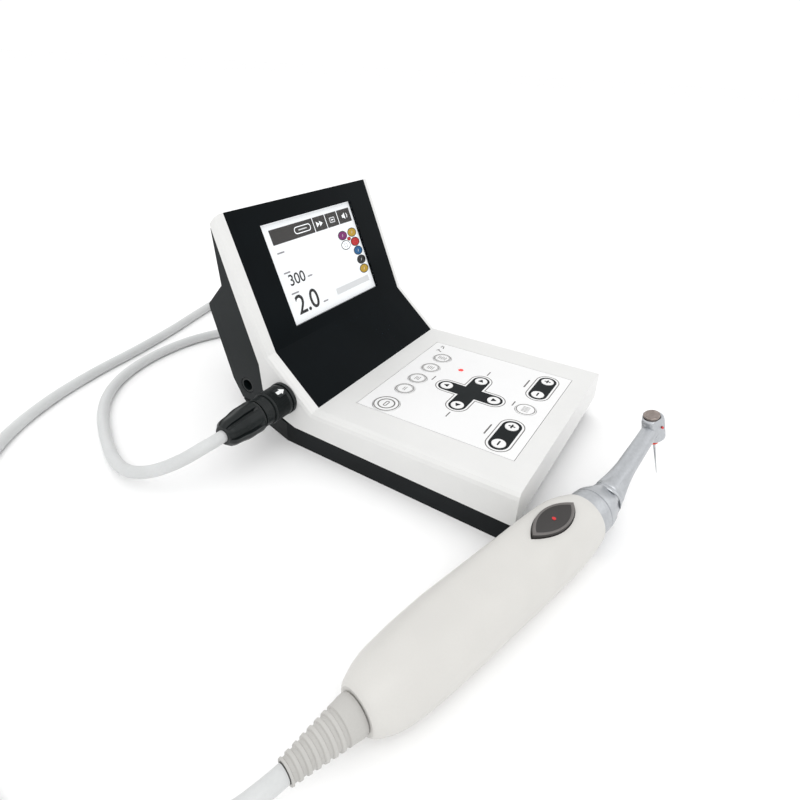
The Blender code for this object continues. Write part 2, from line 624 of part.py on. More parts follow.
def cord_socket(frames, finish):
    profile = [(GAP, SOCKET_FLANGE_RADIUS), (SOCKET_FLANGE, SOCKET_FLANGE_RADIUS),
               (SOCKET_FLANGE, SOCKET_BORE), (-PLUG_NOSE + SOCKET_FLANGE - GAP, SOCKET_BORE),
               (-PLUG_NOSE + SOCKET_FLANGE - GAP, PIN_HOLE), (-SOCKET_DEPTH, PIN_HOLE),
               (-SOCKET_DEPTH, SOCKET_BARREL_RADIUS), (GAP, SOCKET_BARREL_RADIUS)]
    add_object("cord_socket", turned(profile, 28, "X", hollow=True), finish, frames["plug"])


RING_START = SOCKET_FLANGE + GAP
COLLAR_START = RING_START + RING_LENGTH + GAP
GRIP_START = COLLAR_START + COLLAR_LENGTH + GAP
CORD_EXIT = GRIP_START + GRIP_LENGTH + GAP


def plug(frames, finish):
    nose_tip = SOCKET_FLANGE - PLUG_NOSE + GAP
    body = [(nose_tip, PLUG_CORE_RADIUS), (COLLAR_START, PLUG_CORE_RADIUS),
            (COLLAR_START, COLLAR_RADIUS), (COLLAR_START + COLLAR_LENGTH, COLLAR_RADIUS)]
    add_object("plug_body", turned(body, 24, "X"), finish, frames["plug"])
    ring = tube_profile(RING_START, RING_START + RING_LENGTH, RING_RADIUS,
                        PLUG_CORE_RADIUS + RING_CLEARANCE)
    add_object("plug_ring", turned(ring, 28, "X", hollow=True), finish, frames["plug"])
    grip = [(GRIP_START, COLLAR_RADIUS), (GRIP_START + 1.5, GRIP_RADIUS),
            (GRIP_START + 9.0, GRIP_RADIUS), (GRIP_START + 15.0, 6.6),
            (GRIP_START + GRIP_LENGTH, GRIP_END_RADIUS)]
    add_object("plug_grip", turned(grip, 24, "X"), finish, frames["plug"])


def smooth_path(points, step):
    """Points a step apart along the smooth curve through some chosen points."""
    path = [Vector(p) for p in points]
    path = [2 * path[0] - path[1], *path, 2 * path[-1] - path[-2]]
    fine = []
    for a, b, c, d in zip(path, path[1:], path[2:], path[3:]):
        for i in range(20):
            t = i / 20
            fine.append(0.5 * (2 * b + (c - a) * t + (2 * a - 5 * b + 4 * c - d) * t * t
                               + (3 * b - a - 3 * c + d) * t ** 3))
    fine.append(path[-2])
    length = sum((q - p).length for p, q in zip(fine, fine[1:]))
    count = round(length / step)
    spaced, run, target = [fine[0]], 0.0, length / count
    for p, q in zip(fine, fine[1:]):
        stretch = (q - p).length
        while run + stretch >= target - 1e-9 and len(spaced) < count:
            spaced.append(p.lerp(q, (target - run) / stretch))
            target += length / count
        run += stretch
    return [*spaced, fine[-1]]


def cord_tube(name, points, finish):
    curve = bpy.data.curves.new(name, "CURVE")
    curve.dimensions = "3D"
    curve.bevel_depth = CORD_RADIUS * MM
    curve.bevel_resolution = 2
    curve.use_fill_caps = True
    path = smooth_path(points, 4.4 * CORD_RADIUS)
    spline = curve.splines.new("POLY")
    spline.points.add(len(path) - 1)
    for point, place in zip(spline.points, path):
        point.co = (*(place * MM), 1.0)
    curve.materials.append(finish)
    tube = bpy.data.objects.new(name, curve)
    bpy.context.scene.collection.objects.link(tube)


PLUG_END = (-SHELL_HALF_WIDTH - CORD_EXIT - GAP, *SOCKET_PLACE)
COIL_EDGE = COIL_RADIUS + COIL_SIDE / 2 + 2 * GAP + CORD_RADIUS
FIRST_RUN = [PLUG_END, (PLUG_END[0] - 5.0, *SOCKET_PLACE), (-107.0, 20.8, 25.2),
             (-110.5, 23.4, 23.0), (-116.0, 29.3, 19.2), (-119.3, 38.0, 14.4), (-120.3, 49.0, 9.6),
             (-118.8, 60.0, 5.9), (-115.8, 71.0, 3.8),
             (-111.3, 82.0, CORD_REST), (-105.5, 94.0, CORD_REST), (-98.0, 107.0, CORD_REST),
             (-88.0, 119.5, CORD_REST), (-74.0, 130.5, CORD_REST), (-57.0, 137.5, CORD_REST),
             (-38.0, 140.5, CORD_REST), (-16.0, 139.0, CORD_REST), (6.0, 130.5, CORD_REST),
             (26.0, 114.5, CORD_REST), (44.0, 103.0, CORD_REST), (54.5, 99.3, CORD_REST),
             (COIL_CENTRE[0], COIL_CENTRE[1] - COIL_EDGE, CORD_REST)]
SECOND_RUN = [(COIL_CENTRE[0], COIL_CENTRE[1] + COIL_EDGE, CORD_REST), (42.0, 176.5, CORD_REST),
              (14.0, 169.5, CORD_REST), (-16.0, 161.0, CORD_REST), (-46.0, 154.5, CORD_REST),
              (-76.0, 149.5, CORD_REST), (-105.0, 141.5, CORD_REST), (-131.0, 129.0, CORD_REST),
              (-153.0, 110.5, CORD_REST), (-171.0, 88.0, CORD_REST), (-186.0, 62.0, CORD_REST),
              (-198.0, 34.0, CORD_REST), (-207.0, 5.0, CORD_REST), (-212.5, -24.0, CORD_REST),
              (-211.5, -46.0, 3.6), (-203.5, -62.5, 5.8), (-192.0, -73.0, 9.6),
              (-182.5, -79.9, 12.3)]


def handpiece_point(along, height=0.0):
    """World place of a point on the handpiece's axis."""
    turn = math.radians(HANDPIECE_TURN)
    return (HANDPIECE_TAIL[0] + along * math.cos(turn), HANDPIECE_TAIL[1] + along * math.sin(turn),
            HANDLE_RADIUS + height)


def cord(finish):
    cord_tube("cord_plug_run", FIRST_RUN, finish)
    tail = [handpiece_point(-BOOT_LENGTH - 5.0), handpiece_point(-BOOT_LENGTH - 3 * GAP)]
    cord_tube("cord_handpiece_run", [*SECOND_RUN, *tail], finish)
    half = COIL_SIDE / 2
    profile = tube_profile(CORD_REST - CORD_RADIUS, CORD_REST - CORD_RADIUS + COIL_SIDE,
                           COIL_RADIUS + half, COIL_RADIUS - half)
    coil = add_object("cord_coil", turned(profile, 32, hollow=True), finish)
    coil.location = Vector((*COIL_CENTRE, 0.0)) * MM


# ---- handpiece -----------------------------------------------------------------------------

def oval_ring(place, side, above, below, count=24):
    """A section of the handle, each side its own distance inside HANDLE_RADIUS."""
    half_width, above, below = (HANDLE_RADIUS - inset for inset in (side, above, below))
    return [(place, half_width * u, (above if v > 0 else below) * v)
            for u, v in ((math.cos(a), math.sin(a))
                         for a in (2 * math.pi * i / count for i in range(count)))]


def handle(frames, shell_finish, boot_finish):
    rings = [oval_ring(*section) for section in HANDLE_SECTIONS]
    shell = add_object("handle_shell", skin(rings), shell_finish, frames["handle"])
    bore = turned([(MOTOR_START - GAP, HANDLE_BORE), (HANDLE_LENGTH + 5.0, HANDLE_BORE)], 24, "X")
    boolean(shell, add_object("handle_bore", bore, None, frames["handle"]))
    duct = turned([(-5.0, DUCT_RADIUS), (MOTOR_START + 1.0, DUCT_RADIUS)], 12, "X")
    boolean(shell, add_object("cable_duct", duct, None, frames["handle"]))
    pocket = oval_pad(BUTTON_BOTTOM - BUTTON_TRAVEL - GAP, BUTTON_TOP + 5.0, GAP)
    boolean(shell, add_object("button_pocket", pocket, None, frames["handle"]))
    boot = [(-BOOT_LENGTH - GAP, BOOT_END_RADIUS), (-BOOT_LENGTH + 3.0, BOOT_END_RADIUS + 0.3),
            (-2.0, BOOT_RADIUS), (-GAP, BOOT_RADIUS)]
    add_object("handle_boot", turned(boot, 20, "X"), boot_finish, frames["handle"])


def oval_pad(low, high, margin=0.0, dome=0.0):
    """An upright oval pad; a dome narrows its top."""
    rings = []
    levels = [(low, 1.0), (high, 1.0)]
    if dome:
        levels = [(low, 1.0), (high - dome, 1.0), (high - 0.3 * dome, 0.86), (high, 0.55)]
    for height, share in levels:
        rings.append([(BUTTON_CENTRE + (BUTTON_HALF_LENGTH * share + margin) * u,
                       (BUTTON_HALF_WIDTH * share + margin) * v, height)
                      for u, v in circle(1.0, 24)])
    return skin(rings)


def motor(frames, can_finish, steel, nose_finish, button_finish):
    can = [(MOTOR_START, MOTOR_RADIUS), (MOTOR_END, MOTOR_RADIUS),
           (MOTOR_END, SHAFT_RADIUS + SHAFT_CLEARANCE), (SHAFT_START - GAP, SHAFT_RADIUS + SHAFT_CLEARANCE),
           (SHAFT_START - GAP, 0.6), (MOTOR_START, 0.6)]
    add_object("motor_can", turned(can, 24, "X", hollow=True), can_finish, frames["handle"])
    shaft = [(SHAFT_START, SHAFT_RADIUS), (SHAFT_END, SHAFT_RADIUS)]
    add_object("motor_shaft", turned(shaft, 12, "X"), steel, frames["handle"])
    bore = SHAFT_RADIUS + SHAFT_CLEARANCE
    nose = [(NOSE_START, MOTOR_RADIUS), (NOSE_FLANGE_END, MOTOR_RADIUS), (NOSE_FLANGE_END, NOSE_RADIUS),
            (NOSE_END, NOSE_RADIUS), (NOSE_END, bore), (NOSE_START, bore)]
    add_object("motor_nose", turned(nose, 24, "X", hollow=True), nose_finish, frames["handle"])
    pad = oval_pad(BUTTON_BOTTOM, BUTTON_TOP, 0.0, 1.2)
    add_object("handle_button", pad, button_finish, frames["handle"])


# ---- contra-angle --------------------------------------------------------------------------

INPUT_START = SHAFT_END + 0.4
INPUT_GEAR_RADIUS = 2.2
INPUT_GEAR_PLACE = BEND_PLACE - 1.4
NECK_GEAR_RADIUS = 3.3
NECK_GEAR_PLACE = 1.6
NECK_SHAFT_RADIUS = 1.0
PINION_RADIUS = 0.9
PINION_END = HEAD_DISTANCE - 2.6
CROWN_RADIUS = 3.6
CROWN_FACE = PINION_RADIUS + 0.5
MITRE = 12.0                  # of the cuts where sleeve and neck meet


def contra_angle(frames, finish, steel):
    bore = SHAFT_RADIUS + SHAFT_CLEARANCE
    sleeve = add_object("contra_sleeve", turned(SLEEVE_SECTIONS, 24, "X"), finish, frames["contra"])
    cut = [(100.0, SLEEVE_BORE), (SLEEVE_BORE_END, SLEEVE_BORE), (SLEEVE_BORE_END, bore),
           (BEND_PLACE - 4.0, bore), (BEND_PLACE - 3.2, GEAR_ROOM_RADIUS),
           (BEND_PLACE + 3.0, GEAR_ROOM_RADIUS)]
    boolean(sleeve, add_object("sleeve_bore", turned(cut, 20, "X"), None, frames["contra"]))
    beyond = block((-GAP / 2, -MITRE, -MITRE), (MITRE, MITRE, MITRE))
    boolean(sleeve, add_object("sleeve_mitre", beyond, None, frames["bend"]))
    neck = add_object("neck_and_head", turned(NECK_SECTIONS, 20, "X"), finish, frames["neck"])
    before = block((-MITRE, -MITRE, -MITRE), (GAP / 2, MITRE, MITRE))
    boolean(neck, add_object("neck_mitre", before, None, frames["bend"]))
    head = turned([(HEAD_LOW, HEAD_RADIUS - 0.9), (HEAD_LOW + 1.2, HEAD_RADIUS - 0.1),
                   (HEAD_HIGH - 1.0, HEAD_RADIUS), (HEAD_HIGH, HEAD_RADIUS - 0.6)], 24)
    boolean(neck, add_object("head_block", head, None, frames["head"]), "UNION")
    room = [(-5.0, GEAR_ROOM_RADIUS), (NECK_GEAR_PLACE + 2.2, GEAR_ROOM_RADIUS),
            (NECK_GEAR_PLACE + 3.4, NECK_SHAFT_RADIUS + SHAFT_CLEARANCE),
            (HEAD_DISTANCE, NECK_SHAFT_RADIUS + SHAFT_CLEARANCE)]
    boolean(neck, add_object("neck_bore", turned(room, 16, "X"), None, frames["neck"]))
    bore = turned([(HEAD_LOW - 2.0, SHANK_RADIUS + 0.4), (HEAD_FLOOR, SHANK_RADIUS + 0.4),
                   (HEAD_FLOOR, HEAD_BORE), (HEAD_HIGH + 2.0, HEAD_BORE)], 20)
    boolean(neck, add_object("head_bore", bore, None, frames["head"]))
    shaft = [(INPUT_START, SHAFT_RADIUS), (INPUT_GEAR_PLACE - 0.9, SHAFT_RADIUS),
             (INPUT_GEAR_PLACE - 0.9, INPUT_GEAR_RADIUS), (INPUT_GEAR_PLACE, INPUT_GEAR_RADIUS - 0.2)]
    add_object("input_shaft", turned(shaft, 12, "X"), steel, frames["contra"])
    shaft = [(NECK_GEAR_PLACE, NECK_GEAR_RADIUS - 0.2), (NECK_GEAR_PLACE + 0.9, NECK_GEAR_RADIUS),
             (NECK_GEAR_PLACE + 0.9, NECK_SHAFT_RADIUS), (PINION_END - 1.5, NECK_SHAFT_RADIUS),
             (PINION_END, PINION_RADIUS)]
    add_object("neck_shaft", turned(shaft, 12, "X"), steel, frames["neck"])


def head(frames, cap_finish, steel, file_finish, stopper_finish):
    stem = SHANK_RADIUS + 0.9
    inner = SHANK_RADIUS + 0.15
    chuck = [(HEAD_FLOOR + GAP, inner), (HEAD_FLOOR + GAP, stem), (CROWN_FACE, stem),
             (CROWN_FACE, CROWN_RADIUS), (CROWN_FACE + 1.0, CROWN_RADIUS), (CROWN_FACE + 1.0, inner)]
    add_object("chuck", turned(chuck, 16, hollow=True), steel, frames["head"])
    washer = [(CROWN_FACE + 1.3, 2.0), (CROWN_FACE + 1.3, 3.4), (CROWN_FACE + 1.7, 3.7),
              (CROWN_FACE + 1.7, 2.3)]
    add_object("cap_spring", turned(washer, 16, hollow=True), steel, frames["head"])
    cap = [(CROWN_FACE + 1.7 + CAP_TRAVEL + GAP, 2.2), (5.2, 2.2), (5.2, CAP_RADIUS),
           (6.9, CAP_RADIUS), (7.2, CAP_RADIUS - 0.5)]
    add_object("push_cap", turned(cap, 24), cap_finish, frames["head"])
    blade = [(FILE_TIP, 0.16), (-22.0, 0.33), (-8.0, 0.62), (-6.6, 0.62), (-6.2, SHANK_RADIUS),
             (SHANK_TOP, SHANK_RADIUS)]
    add_object("endo_file", turned(blade, 12), file_finish, frames["head"])
    stopper = tube_profile(-6.6 - STOPPER_HEIGHT, -6.9, STOPPER_RADIUS, STOPPER_BORE)
    add_object("file_stopper", turned(stopper, 16, hollow=True), stopper_finish, frames["head"])


def main():
    clear_scene()
    frames = make_frames()
    white = material("white_casing", (0.86, 0.86, 0.85), 0.32)
    black = material("black_panel", (0.010, 0.014, 0.018), 0.2)
    charcoal = material("charcoal_casing", (0.030, 0.036, 0.038), 0.45)
    base_black = material("base_black", (0.012, 0.014, 0.015), 0.5)
    membrane = material("keypad_film", (0.92, 0.92, 0.92), 0.4)
    key_white = material("key_white", (0.88, 0.88, 0.87), 0.4)
    red = material("lamp_red", (0.75, 0.03, 0.03), 0.25)
    glass = material("display_glass", (0.85, 0.87, 0.88), 0.08)
    module = material("display_module", (0.55, 0.57, 0.58), 0.35)
    board = material("circuit_board", (0.02, 0.16, 0.07), 0.4)
    wrap = material("battery_wrap", (0.05, 0.16, 0.42), 0.35)
    steel = material("steel", (0.62, 0.62, 0.62), 0.28, 1.0)
    rubber = material("foot_rubber", (0.02, 0.02, 0.02), 0.85)
    connector = material("connector_plastic", (0.018, 0.026, 0.027), 0.35)
    sheath = material("cord_sheath", (0.78, 0.79, 0.78), 0.45)
    handle_grey = material("handle_plastic", (0.72, 0.715, 0.69), 0.42)
    boot_grey = material("boot_rubber", (0.60, 0.60, 0.58), 0.6)
    button_dark = material("button_rubber", (0.045, 0.04, 0.04), 0.42)
    satin = material("satin_metal", (0.66, 0.67, 0.69), 0.3, 1.0)
    cap_steel = material("cap_steel", (0.42, 0.39, 0.37), 0.16, 1.0)
    file_steel = material("file_steel", (0.5, 0.5, 0.5), 0.25, 1.0)
    stopper = material("stopper_silicone", (0.85, 0.08, 0.03), 0.5)

    upper_shell(frames, white)
    front_panel(frames, black)
    display(frames, glass, module)
    keypad(frames, membrane, key_white, red)
    base_shell(base_black)
    fasteners_and_feet(steel, rubber)
    main_board(board)
    rear_cover(frames, charcoal)
    battery_pack(wrap)
    charge_jack(connector)
    cord_socket(frames, connector)
    plug(frames, connector)
    cord(sheath)
    handle(frames, handle_grey, boot_grey)
    motor(frames, steel, steel, satin, button_dark)
    contra_angle(frames, satin, steel)
    head(frames, cap_steel, steel, file_steel, stopper)


main()
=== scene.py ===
"""Looks of an endodontic motor: table console, cord, motor handpiece, contra-angle and root canal file."""

import json
import math

import bmesh
import bpy
from mathutils import Matrix, Vector


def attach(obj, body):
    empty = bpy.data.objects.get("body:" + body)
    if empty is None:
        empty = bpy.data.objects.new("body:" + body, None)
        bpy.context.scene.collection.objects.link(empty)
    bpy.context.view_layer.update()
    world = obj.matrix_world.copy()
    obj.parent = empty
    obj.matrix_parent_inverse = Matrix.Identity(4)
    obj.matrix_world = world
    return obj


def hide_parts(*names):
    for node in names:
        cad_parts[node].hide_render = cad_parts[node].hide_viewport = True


bl_info = {
    "name": "Endodontic motor",
    "version": (1, 0, 0),
    "blender": (4, 5, 0),
    "location": "3D View > Sidebar > Endodontic motor",
    "description": "Builds the finished surfaces of a table console and its motor handpiece",
    "category": "Object",
}

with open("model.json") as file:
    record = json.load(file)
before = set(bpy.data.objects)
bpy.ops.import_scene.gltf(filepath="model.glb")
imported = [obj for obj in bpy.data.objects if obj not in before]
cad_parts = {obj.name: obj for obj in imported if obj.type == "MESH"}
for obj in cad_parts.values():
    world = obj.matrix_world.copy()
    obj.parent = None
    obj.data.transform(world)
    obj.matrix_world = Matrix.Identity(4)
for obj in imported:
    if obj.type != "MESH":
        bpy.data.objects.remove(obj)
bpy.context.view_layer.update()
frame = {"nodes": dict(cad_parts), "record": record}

MM = 0.001


# ---- frames, metres outside and millimetres inside ------------------------------------------

def placed(x, y, z, *turns):
    """A place in millimetres, turned about its own axes in the order given."""
    matrix = Matrix.Translation(Vector((x, y, z)) * MM)
    for axis, degrees in turns:
        matrix = matrix @ Matrix.Rotation(math.radians(degrees), 4, axis)
    return matrix


SCREEN = placed(0, 28, 45.5, ("X", 66.47))          # +Y up the display panel, +Z out of it
DECK = placed(0, 2.5, 24, ("X", -1.676))            # -Y to the front, +Z out of the keypad
PLUG = placed(-58, 19.5, 26, ("Z", 180))            # +X out of the socket
HANDLE = placed(-148.9, -90.5, 13.2, ("Z", -16))    # +X from the tail to the head
CONTRA = HANDLE @ placed(0, 0, 0, ("X", -12))
NECK = CONTRA @ placed(130, 0, 0, ("Y", -22))
HEAD = NECK @ placed(44, 0, 0, ("Y", 10))           # -Z down the file


# ---- mesh helpers ----------------------------------------------------------------------------

def rounded(points, radii, steps=6):
    """A closed path with each corner turned into an arc of its own radius."""
    path = []
    for i, (corner, radius) in enumerate(zip(points, radii)):
        here = Vector(corner)
        if radius <= 0:
            path.append(tuple(here))
            continue
        back = (Vector(points[i - 1]) - here).normalized()
        ahead = (Vector(points[(i + 1) % len(points)]) - here).normalized()
        half = back.angle(ahead) / 2
        centre = here + (back + ahead).normalized() * radius / math.sin(half)
        start = here + back * radius / math.tan(half) - centre
        end = here + ahead * radius / math.tan(half) - centre
        sweep = math.atan2(start.x * end.y - start.y * end.x, start.dot(end))
        for k in range(steps + 1):
            turn = sweep * k / steps
            path.append((centre.x + start.x * math.cos(turn) - start.y * math.sin(turn),
                         centre.y + start.x * math.sin(turn) + start.y * math.cos(turn)))
    return path


def arc(x, y, radius, start, end, steps=16):
    """Points of an arc, with its angles in degrees."""
    angles = [math.radians(start + (end - start) * k / steps) for k in range(steps + 1)]
    return [(x + radius * math.cos(a), y + radius * math.sin(a)) for a in angles]


def circle(x, y, radius, steps=40):
    return arc(x, y, radius, 0, 360, steps)[:-1]


def capsule(first, last, half_width):
    """The outline round two points."""
    heading = math.degrees(math.atan2(last[1] - first[1], last[0] - first[0]))
    return (arc(*last, half_width, heading - 90, heading + 90)
            + arc(*first, half_width, heading + 90, heading + 270))


def box_outline(low, high, radius=0.0):
    corners = [low, (high[0], low[1]), high, (low[0], high[1])]
    return rounded(corners, [radius] * 4)


def add_plate(bm, outline, low, high, holes=(), index=0):
    """Adds a flat plate with holes to a mesh, in the finish of that index."""
    plate = bmesh.new()
    edges = []
    for loop in (outline, *holes):
        verts = [plate.verts.new((x, y, low)) for x, y in loop]
        edges += [plate.edges.new((a, b)) for a, b in zip(verts, verts[1:] + verts[:1])]
    bmesh.ops.triangle_fill(plate, use_beauty=True, edges=edges)
    run = bmesh.ops.extrude_face_region(plate, geom=plate.faces[:])
    moved = [item for item in run["geom"] if isinstance(item, bmesh.types.BMVert)]
    bmesh.ops.translate(plate, vec=(0, 0, high - low), verts=moved)
    add_mesh(bm, plate, index)


def add_mesh(bm, other, index=0, matrix=None):
    """Moves another mesh's faces into this one and frees it."""
    bmesh.ops.recalc_face_normals(other, faces=other.faces)
    if matrix is not None:
        other.transform(matrix)
    for face in other.faces:
        face.material_index = index
    mesh = bpy.data.meshes.new("part")
    other.to_mesh(mesh)
    other.free()
    bm.from_mesh(mesh)
    bpy.data.meshes.remove(mesh)


def add_ring(bm, x, y, radius, width, low, high, index=0):
    add_plate(bm, circle(x, y, radius + width / 2), low, high, [circle(x, y, radius - width / 2)], index)


def skin(rings, ringed=False):
    """Bridges rings of equal count, and closes the ends unless the last ring joins the first."""
    bm = bmesh.new()
    made = [[bm.verts.new(point) for point in ring] for ring in rings]
    count = len(made[0])
    for first, second in zip(made, made[1:] + (made[:1] if ringed else [])):
        for i in range(count):
            j = (i + 1) % count
            bm.faces.new((first[i], first[j], second[j], second[i]))
    if not ringed:
        bm.faces.new(made[0])
        bm.faces.new(made[-1])
    return bm


def turned(profile, count=64, axis="X", shape=None, ringed=False):
    """Turns a profile of (place, radius) about an axis. Shape changes the radius by place and angle."""
    rings = []
    for place, radius in profile:
        ring = []
        for i in range(count):
            angle = 2 * math.pi * i / count
            reach = radius * (shape(place, angle) if shape else 1.0)
            u, v = reach * math.cos(angle), reach * math.sin(angle)
            ring.append((place, u, v) if axis == "X" else (u, v, place))
        rings.append(ring)
    return skin(rings, ringed)


def softened(profile, radii):
    """An open profile with its inner corners rounded."""
    return rounded(profile, [0, *radii, 0], 5)


def blurred(table, place, reach):
    """A row of a table of (place, *sizes) at a place, averaged over a reach to both sides."""
    def row(at):
        for low, high in zip(table, table[1:]):
            if at <= high[0]:
                break
        share = min(max((at - low[0]) / (high[0] - low[0]), 0.0), 1.0)
        return [a + share * (b - a) for a, b in zip(low[1:], high[1:])]
    reach = min(reach, place - table[0][0], table[-1][0] - place)
    rows = [row(place + reach * k / 4) for k in range(-4, 5)]
    return [sum(values) / len(rows) for values in zip(*rows)]


def smooth_route(points, step=2.0):
    """Points of a smooth curve through the given ones, about a step apart."""
    points = [Vector(p) for p in points]
    points = [2 * points[0] - points[1], *points, 2 * points[-1] - points[-2]]
    route = []
    for a, b, c, d in zip(points, points[1:], points[2:], points[3:]):
        gaps = [math.sqrt((q - p).length) for p, q in ((a, b), (b, c), (c, d))]
        out = ((b - a) / gaps[0] - (c - a) / (gaps[0] + gaps[1]) + (c - b) / gaps[1]) * gaps[1]
        into = ((c - b) / gaps[1] - (d - b) / (gaps[1] + gaps[2]) + (d - c) / gaps[2]) * gaps[1]
        count = max(int((c - b).length / step), 1)
        for k in range(count):
            t = k / count
            route.append(b * (2 * t**3 - 3 * t**2 + 1) + out * (t**3 - 2 * t**2 + t)
                         + c * (3 * t**2 - 2 * t**3) + into * (t**3 - t**2))
    return route + [points[-2]]


def flatten(bm, point, normal):
    """Presses what stands past a plane back onto it."""
    point, normal = Vector(point), Vector(normal).normalized()
    for vert in bm.verts:
        past = (vert.co - point).dot(normal)
        if past > 0:
            vert.co -= normal * past


def cut(bm, cutter):
    """Cuts one mesh out of another, frees both and returns what is left."""
    holders = []
    for source in (bm, cutter):
        bmesh.ops.recalc_face_normals(source, faces=source.faces)
        mesh = bpy.data.meshes.new("work")
        source.to_mesh(mesh)
        source.free()
        holders.append(bpy.data.objects.new("work", mesh))
        bpy.context.scene.collection.objects.link(holders[-1])
    modifier = holders[0].modifiers.new("cut", "BOOLEAN")
    modifier.operation = "DIFFERENCE"
    modifier.object = holders[1]
    graph = bpy.context.evaluated_depsgraph_get()
    rest = bpy.data.meshes.new_from_object(holders[0].evaluated_get(graph))
    result = bmesh.new()
    result.from_mesh(rest)
    for mesh in (rest, *(holder.data for holder in holders)):
        bpy.data.meshes.remove(mesh)
    return result


def make_piece(name, bm, matrix, finishes, body, replaced=(), sharp=35.0):
    """Links a mesh made in millimetres as a piece that rides on a body."""
    bmesh.ops.recalc_face_normals(bm, faces=bm.faces)
    bm.transform(matrix @ Matrix.Scale(MM, 4))
    mesh = bpy.data.meshes.new(name)
    bm.to_mesh(mesh)
    bm.free()
    mesh.polygons.foreach_set("use_smooth", [True] * len(mesh.polygons))
    mesh.set_sharp_from_angle(angle=math.radians(sharp))
    for finish in finishes:
        mesh.materials.append(finish)
    piece = bpy.data.objects.new(name, mesh)
    bpy.context.scene.collection.objects.link(piece)
    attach(piece, body)
    if replaced:
        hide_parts(*replaced)
    return piece


def add_digits(bm, text, x, y, height, low, high, index):
    """Adds figures as thin plates, centred on a place."""
    curve = bpy.data.curves.new("figures", "FONT")
    curve.body = text
    curve.size = height * 1.4
    curve.align_x = "CENTER"
    curve.align_y = "CENTER"
    curve.extrude = (high - low) / 2
    curve.offset = height * 0.012
    holder = bpy.data.objects.new("figures", curve)
    mesh = bpy.data.meshes.new_from_object(holder)
    figures = bmesh.new()
    figures.from_mesh(mesh)
    bpy.data.objects.remove(holder)
    bpy.data.curves.remove(curve)
    bpy.data.meshes.remove(mesh)
    add_mesh(bm, figures, index, Matrix.Translation((x, y, (low + high) / 2)))


# ---- finishes --------------------------------------------------------------------------------

class Value:
    """A shader socket whose Python operators add Math nodes."""

    def __init__(self, tree, socket):
        self.tree, self.socket = tree, socket

    def math(self, operation, first, second=0.0):
        node = self.tree.nodes.new("ShaderNodeMath")
        node.operation = operation
        for slot, item in zip(node.inputs, (first, second)):
            feed(self.tree, slot, item)
        return Value(self.tree, node.outputs[0])

    def __add__(self, other):
        return self.math("ADD", self, other)

    def __radd__(self, other):
        return self.math("ADD", other, self)

    def __sub__(self, other):
        return self.math("SUBTRACT", self, other)

    def __rsub__(self, other):
        return self.math("SUBTRACT", other, self)

    def __mul__(self, other):
        return self.math("MULTIPLY", self, other)

    def __rmul__(self, other):
        return self.math("MULTIPLY", other, self)


def feed(tree, slot, item):
    """Links a value into a socket, or sets a plain number or colour on it."""
    if isinstance(item, Value):
        tree.links.new(item.socket, slot)
    else:
        slot.default_value = item


class Finish:
    """One material, with its shader and the piece's own coordinates in metres."""

    def __init__(self, name, **constants):
        self.material = bpy.data.materials.new(name)
        self.material.use_nodes = True
        self.tree = self.material.node_tree
        self.shader = self.tree.nodes["Principled BSDF"]
        for socket, item in constants.items():
            self.shader.inputs[socket.replace("_", " ")].default_value = item
        self.place = self.node("ShaderNodeTexCoord", {}, {}, "Object")

    def node(self, kind, settings, sockets, out=0):
        """Adds a node: its settings first, then its sockets' values or links."""
        node = self.tree.nodes.new(kind)
        for name, item in settings.items():
            setattr(node, name, item)
        for name, item in sockets.items():
            feed(self.tree, node.inputs[name], item)
        return Value(self.tree, node.outputs[out])

    def noise(self, size, detail=2.0, place=None):
        """Cloudy noise from 0 to 1 whose blotches are about a size in millimetres across."""
        return self.node("ShaderNodeTexNoise", {}, {"Vector": place or self.place, "Scale": 1.0 / (size * MM),
                                                    "Detail": detail, "Roughness": 0.55})

    def stretched(self, x, y, z):
        """The piece's coordinates scaled along its axes."""
        return self.node("ShaderNodeVectorMath", {"operation": "MULTIPLY"}, {0: self.place, 1: (x, y, z)})

    def along(self, matrix):
        """The piece's coordinates in the frame of a matrix."""
        turn = matrix.inverted().to_euler()
        return self.node("ShaderNodeMapping", {}, {"Vector": self.place, "Rotation": turn,
                                                   "Location": matrix.inverted().translation})

    def ramp(self, value, low, high):
        """Maps a span of a value onto 0 to 1, with soft ends."""
        return self.node("ShaderNodeMapRange", {"interpolation_type": "SMOOTHSTEP"},
                         {"Value": value, "From Min": low, "From Max": high})

    def mix(self, share, first, second):
        return self.node("ShaderNodeMix", {"data_type": "RGBA"}, {"Factor": share, 6: first, 7: second}, 2)

    def set(self, socket, item):
        feed(self.tree, self.shader.inputs[socket], item)

    def bump(self, height, depth):
        """Raises the surface by a height from 0 to 1, times a depth in millimetres."""
        self.set("Normal", self.node("ShaderNodeBump", {}, {"Height": height, "Distance": depth * MM,
                                                           "Strength": 1.0}))


def shade(colour, factor):
    return (*(min(c * factor, 1.0) for c in colour[:3]), 1.0)


def moulded(name, colour, roughness, grain=0.5, depth=0.012, mottle=0.05, **constants):
    """Moulded plastic or rubber: fine grain, faint mottling and uneven gloss, unless roughness is None."""
    finish = Finish(name, **constants)
    clouds = finish.noise(22.0)
    fine = finish.noise(grain, 3.0)
    share = finish.ramp(clouds * 0.7 + fine * 0.3, 0.35, 0.65)
    finish.set("Base Color", finish.mix(share, shade(colour, 1 - mottle), shade(colour, 1 + mottle)))
    if roughness is not None:
        finish.set("Roughness", roughness - 0.05 + 0.1 * finish.noise(6.0, 4.0))
    finish.bump(fine, depth)
    return finish


